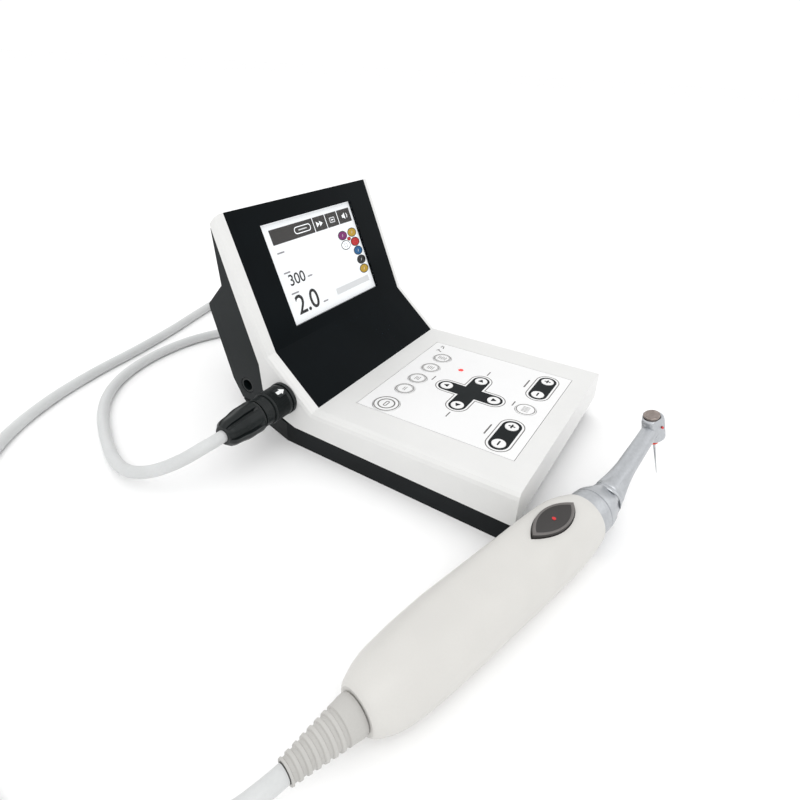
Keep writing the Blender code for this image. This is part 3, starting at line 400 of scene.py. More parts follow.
def machined(name, colour, roughness, matrix, stretch, depth=0.004, mottle=0.08, **constants):
    """Metal with tool marks round an axis of the piece, in its gloss and relief unless roughness is None."""
    finish = Finish(name, Metallic=1.0, **constants)
    place = finish.node("ShaderNodeVectorMath", {"operation": "MULTIPLY"},
                        {0: finish.along(matrix), 1: stretch})
    marks = finish.noise(1.2, 4.0, place)
    clouds = finish.noise(7.0, 3.0)
    share = finish.ramp(marks * 0.6 + clouds * 0.4, 0.35, 0.65)
    finish.set("Base Color", finish.mix(share, shade(colour, 1 - mottle), shade(colour, 1 + mottle)))
    if roughness is not None:
        finish.set("Roughness", roughness - 0.08 + 0.16 * marks)
        finish.bump(marks, depth)
    return finish


FINISHES = {}


def make_finishes(colours):
    """Makes every material once, in the colours of the panel."""
    ready = FINISHES
    ready["white_casing"] = moulded("white_casing", colours.casing, 0.34, 0.8, 0.006, 0.012,
                                    Coat_Weight=0.15, Coat_Roughness=0.25)
    panel = moulded("black_panel", colours.panel, None, 1.4, 0.002, 0.12, Specular_IOR_Level=0.05)
    smears = panel.ramp(panel.noise(9.0, 5.0, panel.stretched(1.0, 0.35, 0.35)), 0.5, 0.72)
    panel.set("Roughness", 0.12 + 0.14 * smears)
    ready["black_panel"] = panel
    glass = Finish("display_glass", Alpha=0.1, Specular_IOR_Level=0.2)
    glass.set("Base Color", glass.mix(glass.noise(30.0), (0.01, 0.012, 0.014, 1), (0.03, 0.034, 0.038, 1)))
    glass.set("Roughness", 0.05 + 0.08 * glass.noise(8.0, 4.0))
    ready["display_glass"] = glass
    ready["display_module"] = moulded("display_module", (0.42, 0.43, 0.43), 0.4, 0.6, 0.004)
    ready["keypad_film"] = moulded("keypad_film", colours.keypad, 0.5, 0.22, 0.006, 0.008)
    ready["key_white"] = moulded("key_white", colours.keypad, 0.42, 0.3, 0.004, 0.02)
    ready["print_dark"] = moulded("print_dark", colours.print_dark, 0.55, 0.22, 0.004, 0.08,
                                  Specular_IOR_Level=0.12)
    ready["print_grey"] = moulded("print_grey", colours.print_grey, 0.5, 0.22, 0.004, 0.06)
    lamp = moulded("lamp_red", (0.8, 0.02, 0.02), 0.2, 0.6, 0.002, 0.1, Emission_Strength=0.6)
    lamp.set("Emission Color", lamp.mix(lamp.noise(0.8), (0.9, 0.02, 0.02, 1), (1.0, 0.09, 0.06, 1)))
    ready["lamp_red"] = lamp
    ready["base_black"] = moulded("base_black", (0.004, 0.0055, 0.0065), 0.45, 0.45, 0.03, 0.2,
                                  Specular_IOR_Level=0.15)
    ready["charcoal_casing"] = moulded("charcoal_casing", colours.rear, 0.42, 0.5, 0.03, 0.15,
                                       Specular_IOR_Level=0.2)
    board = Finish("circuit_board")
    traces = board.node("ShaderNodeTexBrick", {"offset": 0.35, "squash": 1.4},
                        {"Vector": board.place, "Scale": 260.0, "Mortar Size": 0.03,
                         "Color1": (0, 0, 0, 1), "Color2": (0, 0, 0, 1), "Mortar": (1, 1, 1, 1)})
    pads = board.node("ShaderNodeTexVoronoi", {}, {"Vector": board.place, "Scale": 330.0}, "Distance")
    board.set("Base Color", board.mix(board.ramp(pads, 0.2, 0.16), board.mix(
        traces, (0.008, 0.09, 0.03, 1), (0.03, 0.2, 0.07, 1)), (0.6, 0.42, 0.14, 1)))
    board.set("Roughness", 0.3 + 0.2 * board.noise(4.0))
    board.set("Metallic", board.ramp(pads, 0.2, 0.16))
    board.bump(traces, 0.03)
    ready["circuit_board"] = board
    wrap = Finish("battery_wrap")
    wrap.set("Roughness", 0.25 + 0.1 * wrap.noise(6.0, 4.0))
    wrap.bump(wrap.noise(1.0, 3.0), 0.01)
    seams = wrap.node("ShaderNodeTexWave", {"bands_direction": "X"},
                      {"Vector": wrap.place, "Scale": 9.0, "Distortion": 0.4, "Detail": 1.0})
    wrap.set("Base Color", wrap.mix(wrap.ramp(seams, 0.9, 0.97), (0.03, 0.1, 0.32, 1), (0.5, 0.52, 0.54, 1)))
    ready["battery_wrap"] = wrap
    ready["connector_plastic"] = moulded("connector_plastic", colours.connector, 0.36, 0.6, 0.012, 0.18,
                                         Specular_IOR_Level=0.3)
    ready["cord_sheath"] = moulded("cord_sheath", colours.cord, 0.42, 0.9, 0.01, 0.035)
    ready["handle_plastic"] = moulded("handle_plastic", colours.handle, 0.45, 0.45, 0.008, 0.02)
    ready["boot_rubber"] = moulded("boot_rubber", shade(colours.handle, 0.8), 0.62, 0.35, 0.02, 0.05)
    ready["button_rubber"] = moulded("button_rubber", colours.button, 0.38, 0.4, 0.012, 0.12)
    # The rim crest's lighter grey is a painted highlight: light caught on the top of the raised rim.
    ready["button_rim_highlight"] = moulded("button_rim_highlight", colours.button_rim_highlight, 0.42, 0.4, 0.01, 0.08)
    ready["red_mark"] = moulded("red_mark", (0.62, 0.015, 0.02), 0.35, 0.4, 0.003, 0.12)
    ready["white_mark"] = moulded("white_mark", (0.75, 0.76, 0.76), 0.45, 0.4, 0.003, 0.05)
    ready["steel"] = machined("steel", (0.55, 0.55, 0.56), 0.3, HANDLE, (6.0, 0.8, 0.8))
    satin = machined("satin_metal", colours.metal, None, CONTRA, (1.0, 1.0, 1.0), mottle=0.05)
    blast = satin.noise(0.16, 2.0)
    satin.bump(blast, 0.006)
    satin.set("Roughness", 0.26 + 0.2 * blast)
    ready["satin_metal"] = satin
    ready["cap_steel"] = machined("cap_steel", colours.cap, 0.16, HEAD, (1.0, 1.0, 6.0), 0.002, 0.12)
    ready["file_steel"] = machined("file_steel", (0.42, 0.43, 0.45), 0.26, HEAD, (2.0, 2.0, 0.5), 0.002, 0.15)
    ready["gold_band"] = machined("gold_band", (0.75, 0.5, 0.16), 0.25, HEAD, (1.0, 1.0, 5.0), 0.002, 0.1)
    ready["stopper_silicone"] = moulded("stopper_silicone", (0.78, 0.05, 0.012), 0.5, 0.3, 0.01, 0.08,
                                        Subsurface_Weight=0.1, Subsurface_Scale=0.0008)
    ready["foot_rubber"] = moulded("foot_rubber", (0.015, 0.015, 0.015), 0.75, 0.4, 0.04, 0.25)
    for name, colour in LIT_COLOURS.items():
        lit = Finish("lit_" + name, Emission_Strength=0.55, Roughness=0.5)
        grid = lit.noise(0.3, 1.0)
        tone = lit.mix(grid, shade(colour, 0.93), shade(colour, 1.0))
        lit.set("Base Color", tone)
        lit.set("Emission Color", tone)
        ready["lit_" + name] = lit


LIT_COLOURS = {
    "white": (0.86, 0.88, 0.9), "bar": (0.024, 0.022, 0.021), "dark": (0.004, 0.004, 0.005),
    "grey": (0.2, 0.2, 0.21), "faint": (0.52, 0.53, 0.54), "purple": (0.14, 0.006, 0.1),
    "yellow": (0.36, 0.22, 0.01), "red": (0.36, 0.008, 0.01), "blue": (0.002, 0.075, 0.2),
}


def finish_of(name):
    return FINISHES[name].material


# ---- sizes and colours a user may change -----------------------------------------------------

def colour_property(name, description, value):
    return bpy.props.FloatVectorProperty(name=name, description=description, subtype="COLOR", size=3,
                                         min=0.0, max=1.0, default=value)


class EndoColours(bpy.types.PropertyGroup):
    """Colours of the visible surfaces."""
    casing: colour_property("Casing", "Colour of the white upper casing", (0.7, 0.7, 0.69))
    panel: colour_property("Front panel", "Colour of the glossy front panel", (0.0016, 0.0032, 0.0042))
    keypad: colour_property("Keypad", "Colour of the keypad film", (0.8, 0.8, 0.8))
    print_dark: colour_property("Dark print", "Colour of the cross and capsules", (0.007, 0.0095, 0.0105))
    print_grey: colour_property("Grey print", "Colour of the keypad's thin lines", (0.1, 0.095, 0.09))
    rear: colour_property("Rear housing", "Colour of the rear housing", (0.007, 0.0095, 0.0105))
    connector: colour_property("Connector", "Colour of the plug and socket", (0.0045, 0.0072, 0.0075))
    cord: colour_property("Cord", "Colour of the cord", (0.58, 0.59, 0.59))
    handle: colour_property("Handle", "Colour of the handle", (0.6, 0.59, 0.565))
    button: colour_property("Button", "Colour of the handle's button", (0.022, 0.019, 0.018))
    # Lighter grey for the crest of the button's rim, a painted highlight.
    button_rim_highlight: colour_property("Button rim", "Colour of the button's rim", (0.13, 0.12, 0.115))
    metal: colour_property("Contra-angle", "Colour of the contra-angle's satin metal", (0.47, 0.485, 0.505))
    cap: colour_property("Push cap", "Colour of the head's push cap", (0.3, 0.255, 0.235))


def length_property(name, description, millimetres):
    return bpy.props.FloatProperty(name=name, description=description, default=millimetres * MM,
                                   min=0.0, unit="LENGTH", precision=5)


class EndoSizes(bpy.types.PropertyGroup):
    """Sizes of the details that the frame doesn't hold."""
    print_height: length_property("Print height", "How far the keypad's print stands up", 0.05)
    line_width: length_property("Line width", "Width of the keypad's thin lines", 0.42)
    cross_half_width: length_property("Cross half width", "Half width of the cross's arms", 4.4)
    capsule_half_width: length_property("Capsule half width", "Half width of the two dark capsules", 4.6)
    outline_gap: length_property("Outline gap", "White gap between dark print and its outline", 1.0)
    file_tip: length_property("File tip", "Radius of the file at its tip", 0.16)


# ---- routes ----------------------------------------------------------------------------------

CORD_DIAMETER = 5.5
CORD_REST = 2.95
COIL_CENTRE = (65.0, 138.0)
FIRST_RUN = [(-95.4, 19.5, 26), (-101, 19.5, 26), (-107, 20.8, 25.2), (-110.5, 23.4, 23), (-116, 29.3, 19.2),
             (-119.3, 38, 14.4), (-120.3, 49, 9.6), (-118.8, 60, 5.9), (-115.8, 71, 3.8)]
LYING_RUN = [(-111.3, 82), (-105.5, 94), (-98, 107), (-88, 119.5), (-74, 130.5), (-57, 137.5), (-38, 140.5),
             (-16, 139), (6, 130.5), (26, 114.5), (44, 103), (54.5, 99.3)]
RETURN_RUN = [(42, 176.5), (14, 169.5), (-16, 161), (-46, 154.5), (-76, 149.5), (-105, 141.5), (-131, 129),
              (-153, 110.5), (-171, 88), (-186, 62), (-198, 34), (-207, 5), (-212.5, -24)]
RISING_RUN = [(-211.5, -46, 3.6), (-203.5, -62.5, 5.8), (-192, -73, 9.6), (-182.5, -79.9, 12.3)]
LANES = [(-90, 39.95, 2.95), (-30, 33.8, 2.95), (210, 33.8, 2.95), (270, 28.2, 2.95), (510, 28.2, 2.95),
         (570, 28.2, 8.55), (810, 28.2, 8.55), (870, 33.8, 8.55), (1080, 33.8, 8.55), (1125, 39.95, 8.55),
         (1170, 39.95, 2.95)]      # degrees about the coil, radius and height


def coil_points():
    """The coil's turns, from where the cord comes in to where it leaves."""
    points = []
    for (start, r0, z0), (end, r1, z1) in zip(LANES, LANES[1:]):
        count = round((end - start) / 15)
        for k in range(count):
            share = k / count
            soft = share * share * (3 - 2 * share)
            angle = math.radians(start + (end - start) * share)
            radius = r0 + soft * (r1 - r0)
            points.append((COIL_CENTRE[0] + radius * math.cos(angle),
                           COIL_CENTRE[1] + radius * math.sin(angle), z0 + soft * (z1 - z0)))
    return points + [(COIL_CENTRE[0], COIL_CENTRE[1] + LANES[-1][1], LANES[-1][2])]


def handle_point(place):
    """A point on the handle's axis, in millimetres."""
    return tuple((HANDLE @ (Vector((place, 0, 0)) * MM)) / MM)


def cord_points():
    flat = [(x, y, CORD_REST) for x, y in LYING_RUN]
    back = [(x, y, CORD_REST) for x, y in RETURN_RUN]
    ends = [handle_point(-27.0), handle_point(-22.6)]
    return smooth_route(FIRST_RUN + flat + coil_points() + back + RISING_RUN + ends)


# ---- operators -------------------------------------------------------------------------------

STEPS = []


def step(operator):
    """Keeps an operator in the order in which main calls them."""
    STEPS.append(operator)
    return operator


CAMERA_PLACE = (-0.22371, -0.14473, 0.17433)      # metres
CAMERA_TURNS = (("Z", -59.958), ("X", 63.604), ("Z", 3.18))      # heading, tilt and roll
CAMERA_LENS = 25.336
CAMERA_SHIFT = (-0.01544, -0.08018)
WORLD_STRENGTH = 1.04
FLOOR_ALBEDO = 0.965
FLOOR_RADIUS = 9.0
LIGHTS = (("key_light", (-0.75, -0.35, 1.15), 1.0, 4.5), ("fill_light", (0.9, -1.1, 0.9), 1.2, 1.8),
          ("rear_light", (0.25, 1.1, 1.0), 1.0, 1.2))      # place and size in metres, power in watts


@step
class ENDO_OT_stage(bpy.types.Operator):
    """Lay the pale floor, set the studio light and place the camera"""
    bl_idname = "endo.stage"
    bl_label = "Stage"

    def execute(self, context):
        scene = context.scene
        scene.view_settings.view_transform = "Standard"
        world = bpy.data.worlds.new("studio")
        world.use_nodes = True
        world.node_tree.nodes["Background"].inputs["Color"].default_value = (1.0, 1.0, 1.0, 1.0)
        world.node_tree.nodes["Background"].inputs["Strength"].default_value = WORLD_STRENGTH
        scene.world = world
        floor_finish = moulded("floor", (FLOOR_ALBEDO,) * 3, 0.9, 8.0, 0.01, 0.004, Specular_IOR_Level=0.05)
        bm = bmesh.new()
        rim = [bm.verts.new((x, y, 0.0)) for x, y in circle(0, 0, FLOOR_RADIUS, 64)]
        bm.faces.new(rim)
        mesh = bpy.data.meshes.new("floor")
        bm.to_mesh(mesh)
        bm.free()
        mesh.materials.append(floor_finish.material)
        floor = bpy.data.objects.new("floor", mesh)
        scene.collection.objects.link(floor)
        for name, place, size, power in LIGHTS:
            data = bpy.data.lights.new(name, "AREA")
            data.size = size
            data.energy = power
            light = bpy.data.objects.new(name, data)
            facing = Vector(place).to_track_quat("Z", "Y").to_matrix().to_4x4()
            light.matrix_world = Matrix.Translation(place) @ facing
            scene.collection.objects.link(light)
        data = bpy.data.cameras.new("camera")
        data.sensor_width = 36.0
        data.lens = CAMERA_LENS
        data.shift_x, data.shift_y = CAMERA_SHIFT
        data.clip_start = 0.005
        camera = bpy.data.objects.new("camera", data)
        camera.matrix_world = Matrix.Translation(CAMERA_PLACE) @ placed(0, 0, 0, *CAMERA_TURNS)
        scene.collection.objects.link(camera)
        scene.camera = camera
        return {"FINISHED"}


@step
class ENDO_OT_finishes(bpy.types.Operator):
    """Make the materials and put them on the frame's own pieces"""
    bl_idname = "endo.finishes"
    bl_label = "Finishes"

    def execute(self, context):
        make_finishes(context.scene.endo_colours)
        slots = {row["node"]: row["material_slot"] for row in frame["record"]["subparts"]}
        for name, node in frame["nodes"].items():
            for slot in node.material_slots:
                slot.link = "OBJECT"
                slot.material = finish_of(slots[name])
        return {"FINISHED"}


@step
class ENDO_OT_connector(bpy.types.Operator):
    """Build the socket's flange, the plug's ribbed locking ring and its tapered grip"""
    bl_idname = "endo.connector"
    bl_label = "Socket and plug"

    def execute(self, context):
        dark = finish_of("connector_plastic")
        flange = rounded([(-9.5, 5.5), (-9.5, 6.55), (0.1, 6.55), (0.3, 7.95), (2.0, 7.95), (2.0, 5.5)],
                         [0, 0, 0, 0.25, 0.6, 0.15], 5)
        bm = turned(flange, 64, ringed=True)
        make_piece("socket_flange", bm, PLUG, [dark], "root")

        outer = [(2.3, 7.2), (2.4, 7.55), (2.6, 7.72), (4.1, 7.72)]
        for k in range(11):
            place = 4.35 + 0.7 * k
            outer += [(place, 7.25), (place + 0.12, 7.2), (place + 0.3, 7.68), (place + 0.46, 7.68)]
        outer += [(12.2, 7.7), (12.6, 7.6), (12.8, 7.3)]
        bm = turned([(2.3, 5.6), *outer, (12.8, 5.6)], 72, ringed=True)
        pad = bmesh.new()
        add_plate(pad, box_outline((2.9, -2.4), (8.6, 2.4), 0.6), 7.2, 7.84)
        add_mesh(bm, pad, 0, Matrix.Rotation(math.radians(-24), 4, "X"))
        mark = bmesh.new()
        arrow = [(3.3, 0.0), (5.7, 1.7), (5.7, 0.85), (8.0, 0.85), (8.0, -0.85), (5.7, -0.85), (5.7, -1.7)]
        add_plate(mark, arrow, 7.8, 7.94)
        add_mesh(bm, mark, 1, Matrix.Rotation(math.radians(-24), 4, "X"))
        make_piece("locking_sleeve", bm, PLUG, [dark, finish_of("white_mark")], "locking_ring",
                   ["plug_ring"], 28)
        collar = softened([(13.1, 4.2), (13.1, 7.0), (15.0, 7.0), (15.3, 6.4), (16.3, 6.4), (16.6, 7.0),
                           (18.1, 7.0), (18.1, 4.2)], (0.4, 0.2, 0.2, 0.2, 0.2, 0.4))
        bm = turned(collar, 64, ringed=True)
        make_piece("plug_collar", bm, PLUG, [dark], "root")

        def petals(place, angle):
            depth = min(max((place - 20.4) / 1.6, 0.0), 1.0) * min(max((37.0 - place) / 0.6, 0.0), 1.0)
            slot = min(max((math.cos(6 * angle) - 0.72) / 0.16, 0.0), 1.0)
            return 1.0 - 0.17 * depth * slot - 0.03 * depth * (0.5 - 0.5 * math.cos(12 * angle))

        grip = [(18.4, 6.6), (18.6, 7.0), (19.4, 7.6), (20.2, 7.7), (20.6, 7.7), (21.3, 7.7), (22.2, 7.7),
                (24.0, 7.7), (26.0, 7.68), (27.4, 7.6), (28.6, 7.35), (30.2, 6.95), (32.0, 6.7), (33.6, 6.55),
                (34.8, 6.3), (35.8, 5.8), (36.4, 5.2), (36.9, 4.7), (37.4, 4.3), (37.4, 2.9), (18.4, 2.9)]
        bm = turned(grip, 192, shape=petals, ringed=True)
        make_piece("plug_taper", bm, PLUG, [dark], "root", ["plug_grip"], 30)
        return {"FINISHED"}


@step
class ENDO_OT_cord(bpy.types.Operator):
    """Lay the cord from the plug round the back, through its coil and on to the handpiece"""
    bl_idname = "endo.cord"
    bl_label = "Cord"

    def execute(self, context):
        curve = bpy.data.curves.new("cord", "CURVE")
        curve.dimensions = "3D"
        points = cord_points()
        spline = curve.splines.new("POLY")
        spline.points.add(len(points) - 1)
        for point, (x, y, z) in zip(spline.points, points):
            point.co = (x * MM, y * MM, z * MM, 1.0)
        spline.use_smooth = True
        curve.bevel_depth = CORD_DIAMETER / 2 * MM
        curve.bevel_resolution = 6
        curve.use_fill_caps = True
        curve.materials.append(finish_of("cord_sheath"))
        cord = bpy.data.objects.new("cord", curve)
        context.scene.collection.objects.link(cord)
        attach(cord, "root")
        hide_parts("cord_plug_run", "cord_coil", "cord_handpiece_run")
        return {"FINISHED"}


KEYS = {
    "power_key": (-32.7, 24.5, 6.6),
    "function_key_1": (-15.9, 24.4, 5.0), "function_key_2": (-3.4, 24.4, 5.0),
    "function_key_3": (10.2, 24.4, 5.0), "function_key_4": (23.3, 24.4, 5.0),
    "arrow_key_back": (-1.3, 40.4, 3.2), "arrow_key_front": (-1.3, 66.4, 3.2),
    "arrow_key_right": (12.1, 53.4, 3.2), "arrow_key_left": (-14.7, 53.4, 3.2),
    "torque_key_plus": (30.8, 82.5, 3.2), "torque_key_minus": (16.0, 82.5, 3.2),
    "select_key": (-0.4, 82.5, 5.0),
    "speed_key_plus": (-17.3, 82.5, 3.2), "speed_key_minus": (-32.2, 82.5, 3.2),
}      # side place, distance in front of the deck's back edge, radius
ARROW_TURNS = {"arrow_key_back": 90, "arrow_key_front": -90, "arrow_key_right": 0, "arrow_key_left": 180}
KEY_TOP = 0.25
KEY_BOTTOM = -1.7


def key_place(name):
    x, distance, _ = KEYS[name]
    return x, -distance


def stroke(x, y, length, width, turn=0.0):
    """A thin bar's outline, centred on a place and turned in degrees."""
    half = max(length - width, 0.01) / 2
    c, s = math.cos(math.radians(turn)) * half, math.sin(math.radians(turn)) * half
    return capsule((x - c, y - s), (x + c, y + s), width / 2)


@step
class ENDO_OT_keys(bpy.types.Operator):
    """Build the fourteen keys with their rings and signs"""
    bl_idname = "endo.keys"
    bl_label = "Keys"

    def execute(self, context):
        sizes = context.scene.endo_sizes
        line = sizes.line_width / MM
        finishes = [finish_of(name) for name in ("key_white", "print_grey", "print_dark")]
        for name in KEYS:
            x, y = key_place(name)
            radius = KEYS[name][2] - 0.02
            dome = [(KEY_BOTTOM, radius), (KEY_TOP - 0.14, radius), (KEY_TOP - 0.05, radius - 0.05),
                    (KEY_TOP - 0.01, radius - 0.16), (KEY_TOP, radius - 0.4)]
            bm = turned(dome, 56, "Z")
            bm.transform(Matrix.Translation((x, y, 0.0)))
            self.add_signs(bm, name, x, y, line)
            make_piece(name + "_cap", bm, DECK, finishes, name + "_body", [name], 60)
        return {"FINISHED"}

    def add_signs(self, bm, name, x, y, line):
        """Adds a key's printed signs on its top face."""
        low, high = KEY_TOP - 0.02, KEY_TOP + 0.03
        if name == "power_key":
            add_ring(bm, x, y, 6.05, line * 1.3, low, high, 1)
            add_ring(bm, x, y, 4.0, line * 1.6, low, high, 1)
            add_plate(bm, capsule((x - 1.3, y), (x + 1.3, y), 0.95), low, high,
                      [capsule((x - 1.3, y), (x + 1.3, y), 0.5)], 1)
        elif name.startswith("function"):
            add_ring(bm, x, y, 4.5, line, low, high, 1)
            add_ring(bm, x, y, 3.85, line * 0.55, low, high, 1)
            kind = int(name[-1])
            for k in range(kind + 1):
                bar = stroke(x, y + k - kind / 2, 3.6 - 0.7 * (k % 2), 0.3)
                add_plate(bm, bar, low, high, index=1)
        elif name == "select_key":
            add_ring(bm, x, y, 4.4, line, low, high, 1)
            for k in range(5):
                add_plate(bm, stroke(x - 2.0 + k, y, 3.4, 0.26, 90), low, high, index=1)
        elif name in ARROW_TURNS:
            turn = math.radians(ARROW_TURNS[name])
            tips = [(1.7, 0.0), (-1.0, 1.55), (-1.0, -1.55)]
            tips = [(x + u * math.cos(turn) - v * math.sin(turn), y + u * math.sin(turn) + v * math.cos(turn))
                    for u, v in tips]
            add_plate(bm, rounded(tips, [0.2] * 3, 3), low, high, index=2)
        else:
            bars = [stroke(x, y, 3.4, 0.75)]
            if name.endswith("plus"):
                side, thin = 1.6, 0.37
                quarter = [(side, -thin), (side, thin), (thin, thin)]
                bars = [[(x + u * c - v * s, y + u * s + v * c) for c, s in ((1, 0), (0, 1), (-1, 0), (0, -1))
                         for u, v in quarter]]
            for bar in bars:
                add_plate(bm, bar, low, high, index=2)


def cross_outline(half_width):
    """The outline of the four arrow keys' cross."""
    middle_x, middle_y = -1.3, -53.4
    outline = []
    for name, turn in (("arrow_key_right", 0), ("arrow_key_back", 90), ("arrow_key_left", 180),
                       ("arrow_key_front", 270)):
        outline += arc(*key_place(name), half_width, turn - 90, turn + 90, 20)
        corner = math.radians(turn + 45)
        reach = half_width * math.sqrt(2)
        outline.append((middle_x + reach * math.cos(corner), middle_y + reach * math.sin(corner)))
    return outline


@step
class ENDO_OT_keypad_print(bpy.types.Operator):
    """Print the cross, the capsules and the thin lines on the keypad film"""
    bl_idname = "endo.keypad_print"
    bl_label = "Keypad print"

    def execute(self, context):
        sizes = context.scene.endo_sizes
        top = sizes.print_height / MM
        line = sizes.line_width / MM
        gap = sizes.outline_gap / MM
        arrows = [circle(*key_place(name), 3.35) for name in ARROW_TURNS]
        bm = bmesh.new()
        add_plate(bm, cross_outline(sizes.cross_half_width / MM), -0.02, top, arrows)
        for pair in ("torque_key", "speed_key"):
            ends = key_place(pair + "_minus"), key_place(pair + "_plus")
            holes = [circle(*end, 3.35) for end in ends]
            add_plate(bm, capsule(*ends, sizes.capsule_half_width / MM), -0.02, top, holes)
        make_piece("keypad_dark_print", bm, DECK, [finish_of("print_dark")], "root")
        bm = bmesh.new()
        inner = sizes.cross_half_width / MM + gap
        add_plate(bm, cross_outline(inner + line), -0.02, top * 0.8, [cross_outline(inner)])
        for pair in ("torque_key", "speed_key"):
            ends = key_place(pair + "_minus"), key_place(pair + "_plus")
            inner = sizes.capsule_half_width / MM + gap
            add_plate(bm, capsule(*ends, inner + line), -0.02, top * 0.8, [capsule(*ends, inner)])
            middle = (ends[0][0] + ends[1][0]) / 2
            add_plate(bm, stroke(middle, -74.0, 8.5, 0.7), -0.02, top * 0.8)
        for name in ARROW_TURNS:
            x, y = key_place(name)
            turn = math.radians(ARROW_TURNS[name])
            away, aside = (9.2, 3.0) if name in ("arrow_key_back", "arrow_key_front") else (9.6, 0.0)
            caption = stroke(x + away * math.cos(turn) + aside, y + away * math.sin(turn), 4.5, 0.55)
            add_plate(bm, caption, -0.02, top * 0.8)
        for k, x in enumerate((30.6, 35.4)):
            add_plate(bm, stroke(x, -18.6, 3.2, 0.6, 60 - 40 * k), -0.02, top * 0.8)
            add_plate(bm, stroke(x + 0.6, -17.2, 2.4, 0.5, -30 + 25 * k), -0.02, top * 0.8)
        make_piece("keypad_grey_print", bm, DECK, [finish_of("print_grey")], "root")
        return {"FINISHED"}


SCREEN_LEFT, SCREEN_TOP = -35.3, 57.8
SCREEN_WIDTH, SCREEN_HEIGHT = 70.6, 51.1
PICTURE_BACK = -2.28
PICTURE_FACE = -1.85


def on_screen(u, v):
    """A place on the display as shares of its width from the left and of its height from the top."""
    return SCREEN_LEFT + u * SCREEN_WIDTH, SCREEN_TOP - v * SCREEN_HEIGHT


@step
class ENDO_OT_picture(bpy.types.Operator):
    """Draw the display's picture: bar, figures and coloured dots"""
    bl_idname = "endo.picture"
    bl_label = "Display picture"

    def execute(self, context):
        order = ["white", "bar", "dark", "grey", "faint", "purple", "yellow", "red", "blue"]
        index = {name: i for i, name in enumerate(order)}
        bm = bmesh.new()
        add_plate(bm, box_outline(on_screen(-0.01, 1.01), on_screen(1.01, -0.01)), PICTURE_BACK, PICTURE_FACE)

        def print_on(outline, name, holes=(), layer=1):
            add_plate(bm, outline, PICTURE_FACE - 0.01, PICTURE_FACE + 0.05 * layer, holes, index[name])

        print_on(box_outline(on_screen(0.076, 0.212), on_screen(0.975, 0.062), 0.4), "bar")
        for u in (0.526, 0.67, 0.815):
            print_on(box_outline(on_screen(u - 0.003, 0.212), on_screen(u + 0.003, 0.062)), "white", layer=2)
        x, y = on_screen(0.401, 0.138)
        print_on(capsule((x - 4.4, y), (x + 4.4, y), 1.9), "white",
                 [capsule((x - 4.4, y), (x + 4.4, y), 1.45)], 2)
        print_on(stroke(x, y, 6.4, 0.6), "faint", layer=2)
        for shift in (-1.7, 0.9):
            x, y = on_screen(0.597, 0.14)
            print_on([(x + shift - 1.1, y - 1.5), (x + shift + 1.3, y), (x + shift - 1.1, y + 1.5)],
                     "white", layer=2)
        x, y = on_screen(0.743, 0.14)
        print_on(box_outline((x - 2.2, y - 1.5), (x + 2.2, y + 1.5), 0.4), "faint",
                 [box_outline((x - 1.7, y - 1.0), (x + 1.7, y + 1.0), 0.3)], 2)
        print_on(stroke(x, y, 2.2, 0.5), "white", layer=2)
        x, y = on_screen(0.897, 0.138)
        print_on([(x - 2.0, y - 0.8), (x - 0.9, y - 0.8), (x + 0.4, y - 1.8),
                  (x + 0.4, y + 1.8), (x - 0.9, y + 0.8), (x - 2.0, y + 0.8)], "white", layer=2)
        print_on(arc(x + 0.4, y, 2.2, -40, 40, 8) + arc(x + 0.4, y, 1.7, 40, -40, 8), "white", layer=2)
        for u, v, length in ((0.118, 0.295, 5.0), (0.11, 0.494, 4.6), (0.118, 0.706, 5.4),
                             (0.315, 0.602, 3.6), (0.385, 0.905, 3.8)):
            print_on(stroke(*on_screen(u, v), length, 0.75), "grey")
        for text, u, v, height in (("300", 0.183, 0.582, 5.7), ("2.0", 0.208, 0.84, 10.0)):
            add_digits(bm, text, *on_screen(u, v), height, PICTURE_FACE - 0.01, PICTURE_FACE + 0.06,
                       index["dark"])
        print_on(box_outline(on_screen(0.53, 0.905), on_screen(0.95, 0.84), 0.3), "faint")

        def dot(u, v, name, size=1.0):
            x, y = on_screen(u, v)
            for layer, (tone, wide, tall) in enumerate((("dark", 3.9, 2.6), (name, 3.4, 2.15))):
                print_on([(x + wide * size * math.cos(a), y + tall * size * math.sin(a))
                          for a in (math.radians(10 * k) for k in range(36))], tone, layer=1 + layer)

        for u, v, name in ((0.803, 0.336, "purple"), (0.925, 0.333, "yellow"), (0.929, 0.441, "red"),
                           (0.807, 0.444, "white"), (0.931, 0.545, "blue"), (0.934, 0.652, "dark"),
                           (0.932, 0.758, "yellow")):
            dot(u, v, name)
        dot(0.867, 0.39, "red", 0.42)
        x, y = on_screen(0.807, 0.444)
        add_ring(bm, x, y, 1.2, 0.35, PICTURE_FACE + 0.09, PICTURE_FACE + 0.13, index["grey"])
        for u, v in ((0.803, 0.336), (0.925, 0.333), (0.931, 0.545), (0.934, 0.652), (0.932, 0.758)):
            sign = stroke(*on_screen(u, v), 1.6, 0.3, 60)
            add_plate(bm, sign, PICTURE_FACE + 0.09, PICTURE_FACE + 0.13, index=index["faint"])
        make_piece("display_picture", bm, SCREEN, [finish_of("lit_" + name) for name in order], "root")
        return {"FINISHED"}


CAP_STEM_LOW = 4.1      # underside of the push cap, above its spring
HANDLE_SECTIONS = [(0.0, 7.2, 7.2, 7.2), (1.2, 8.8, 8.8, 8.8), (8.0, 11.6, 11.6, 11.6),
                   (20.0, 12.8, 12.8, 12.8), (35.0, 13.2, 13.2, 13.2), (74.0, 13.2, 13.4, 13.2),
                   (84.0, 13.1, 14.2, 13.1),
                   (94.0, 12.9, 14.3, 12.9), (102.0, 12.3, 13.4, 12.3), (108.0, 11.6, 11.9, 11.6),
                   (111.2, 10.9, 11.0, 10.9), (112.0, 10.3, 10.3, 10.3)]


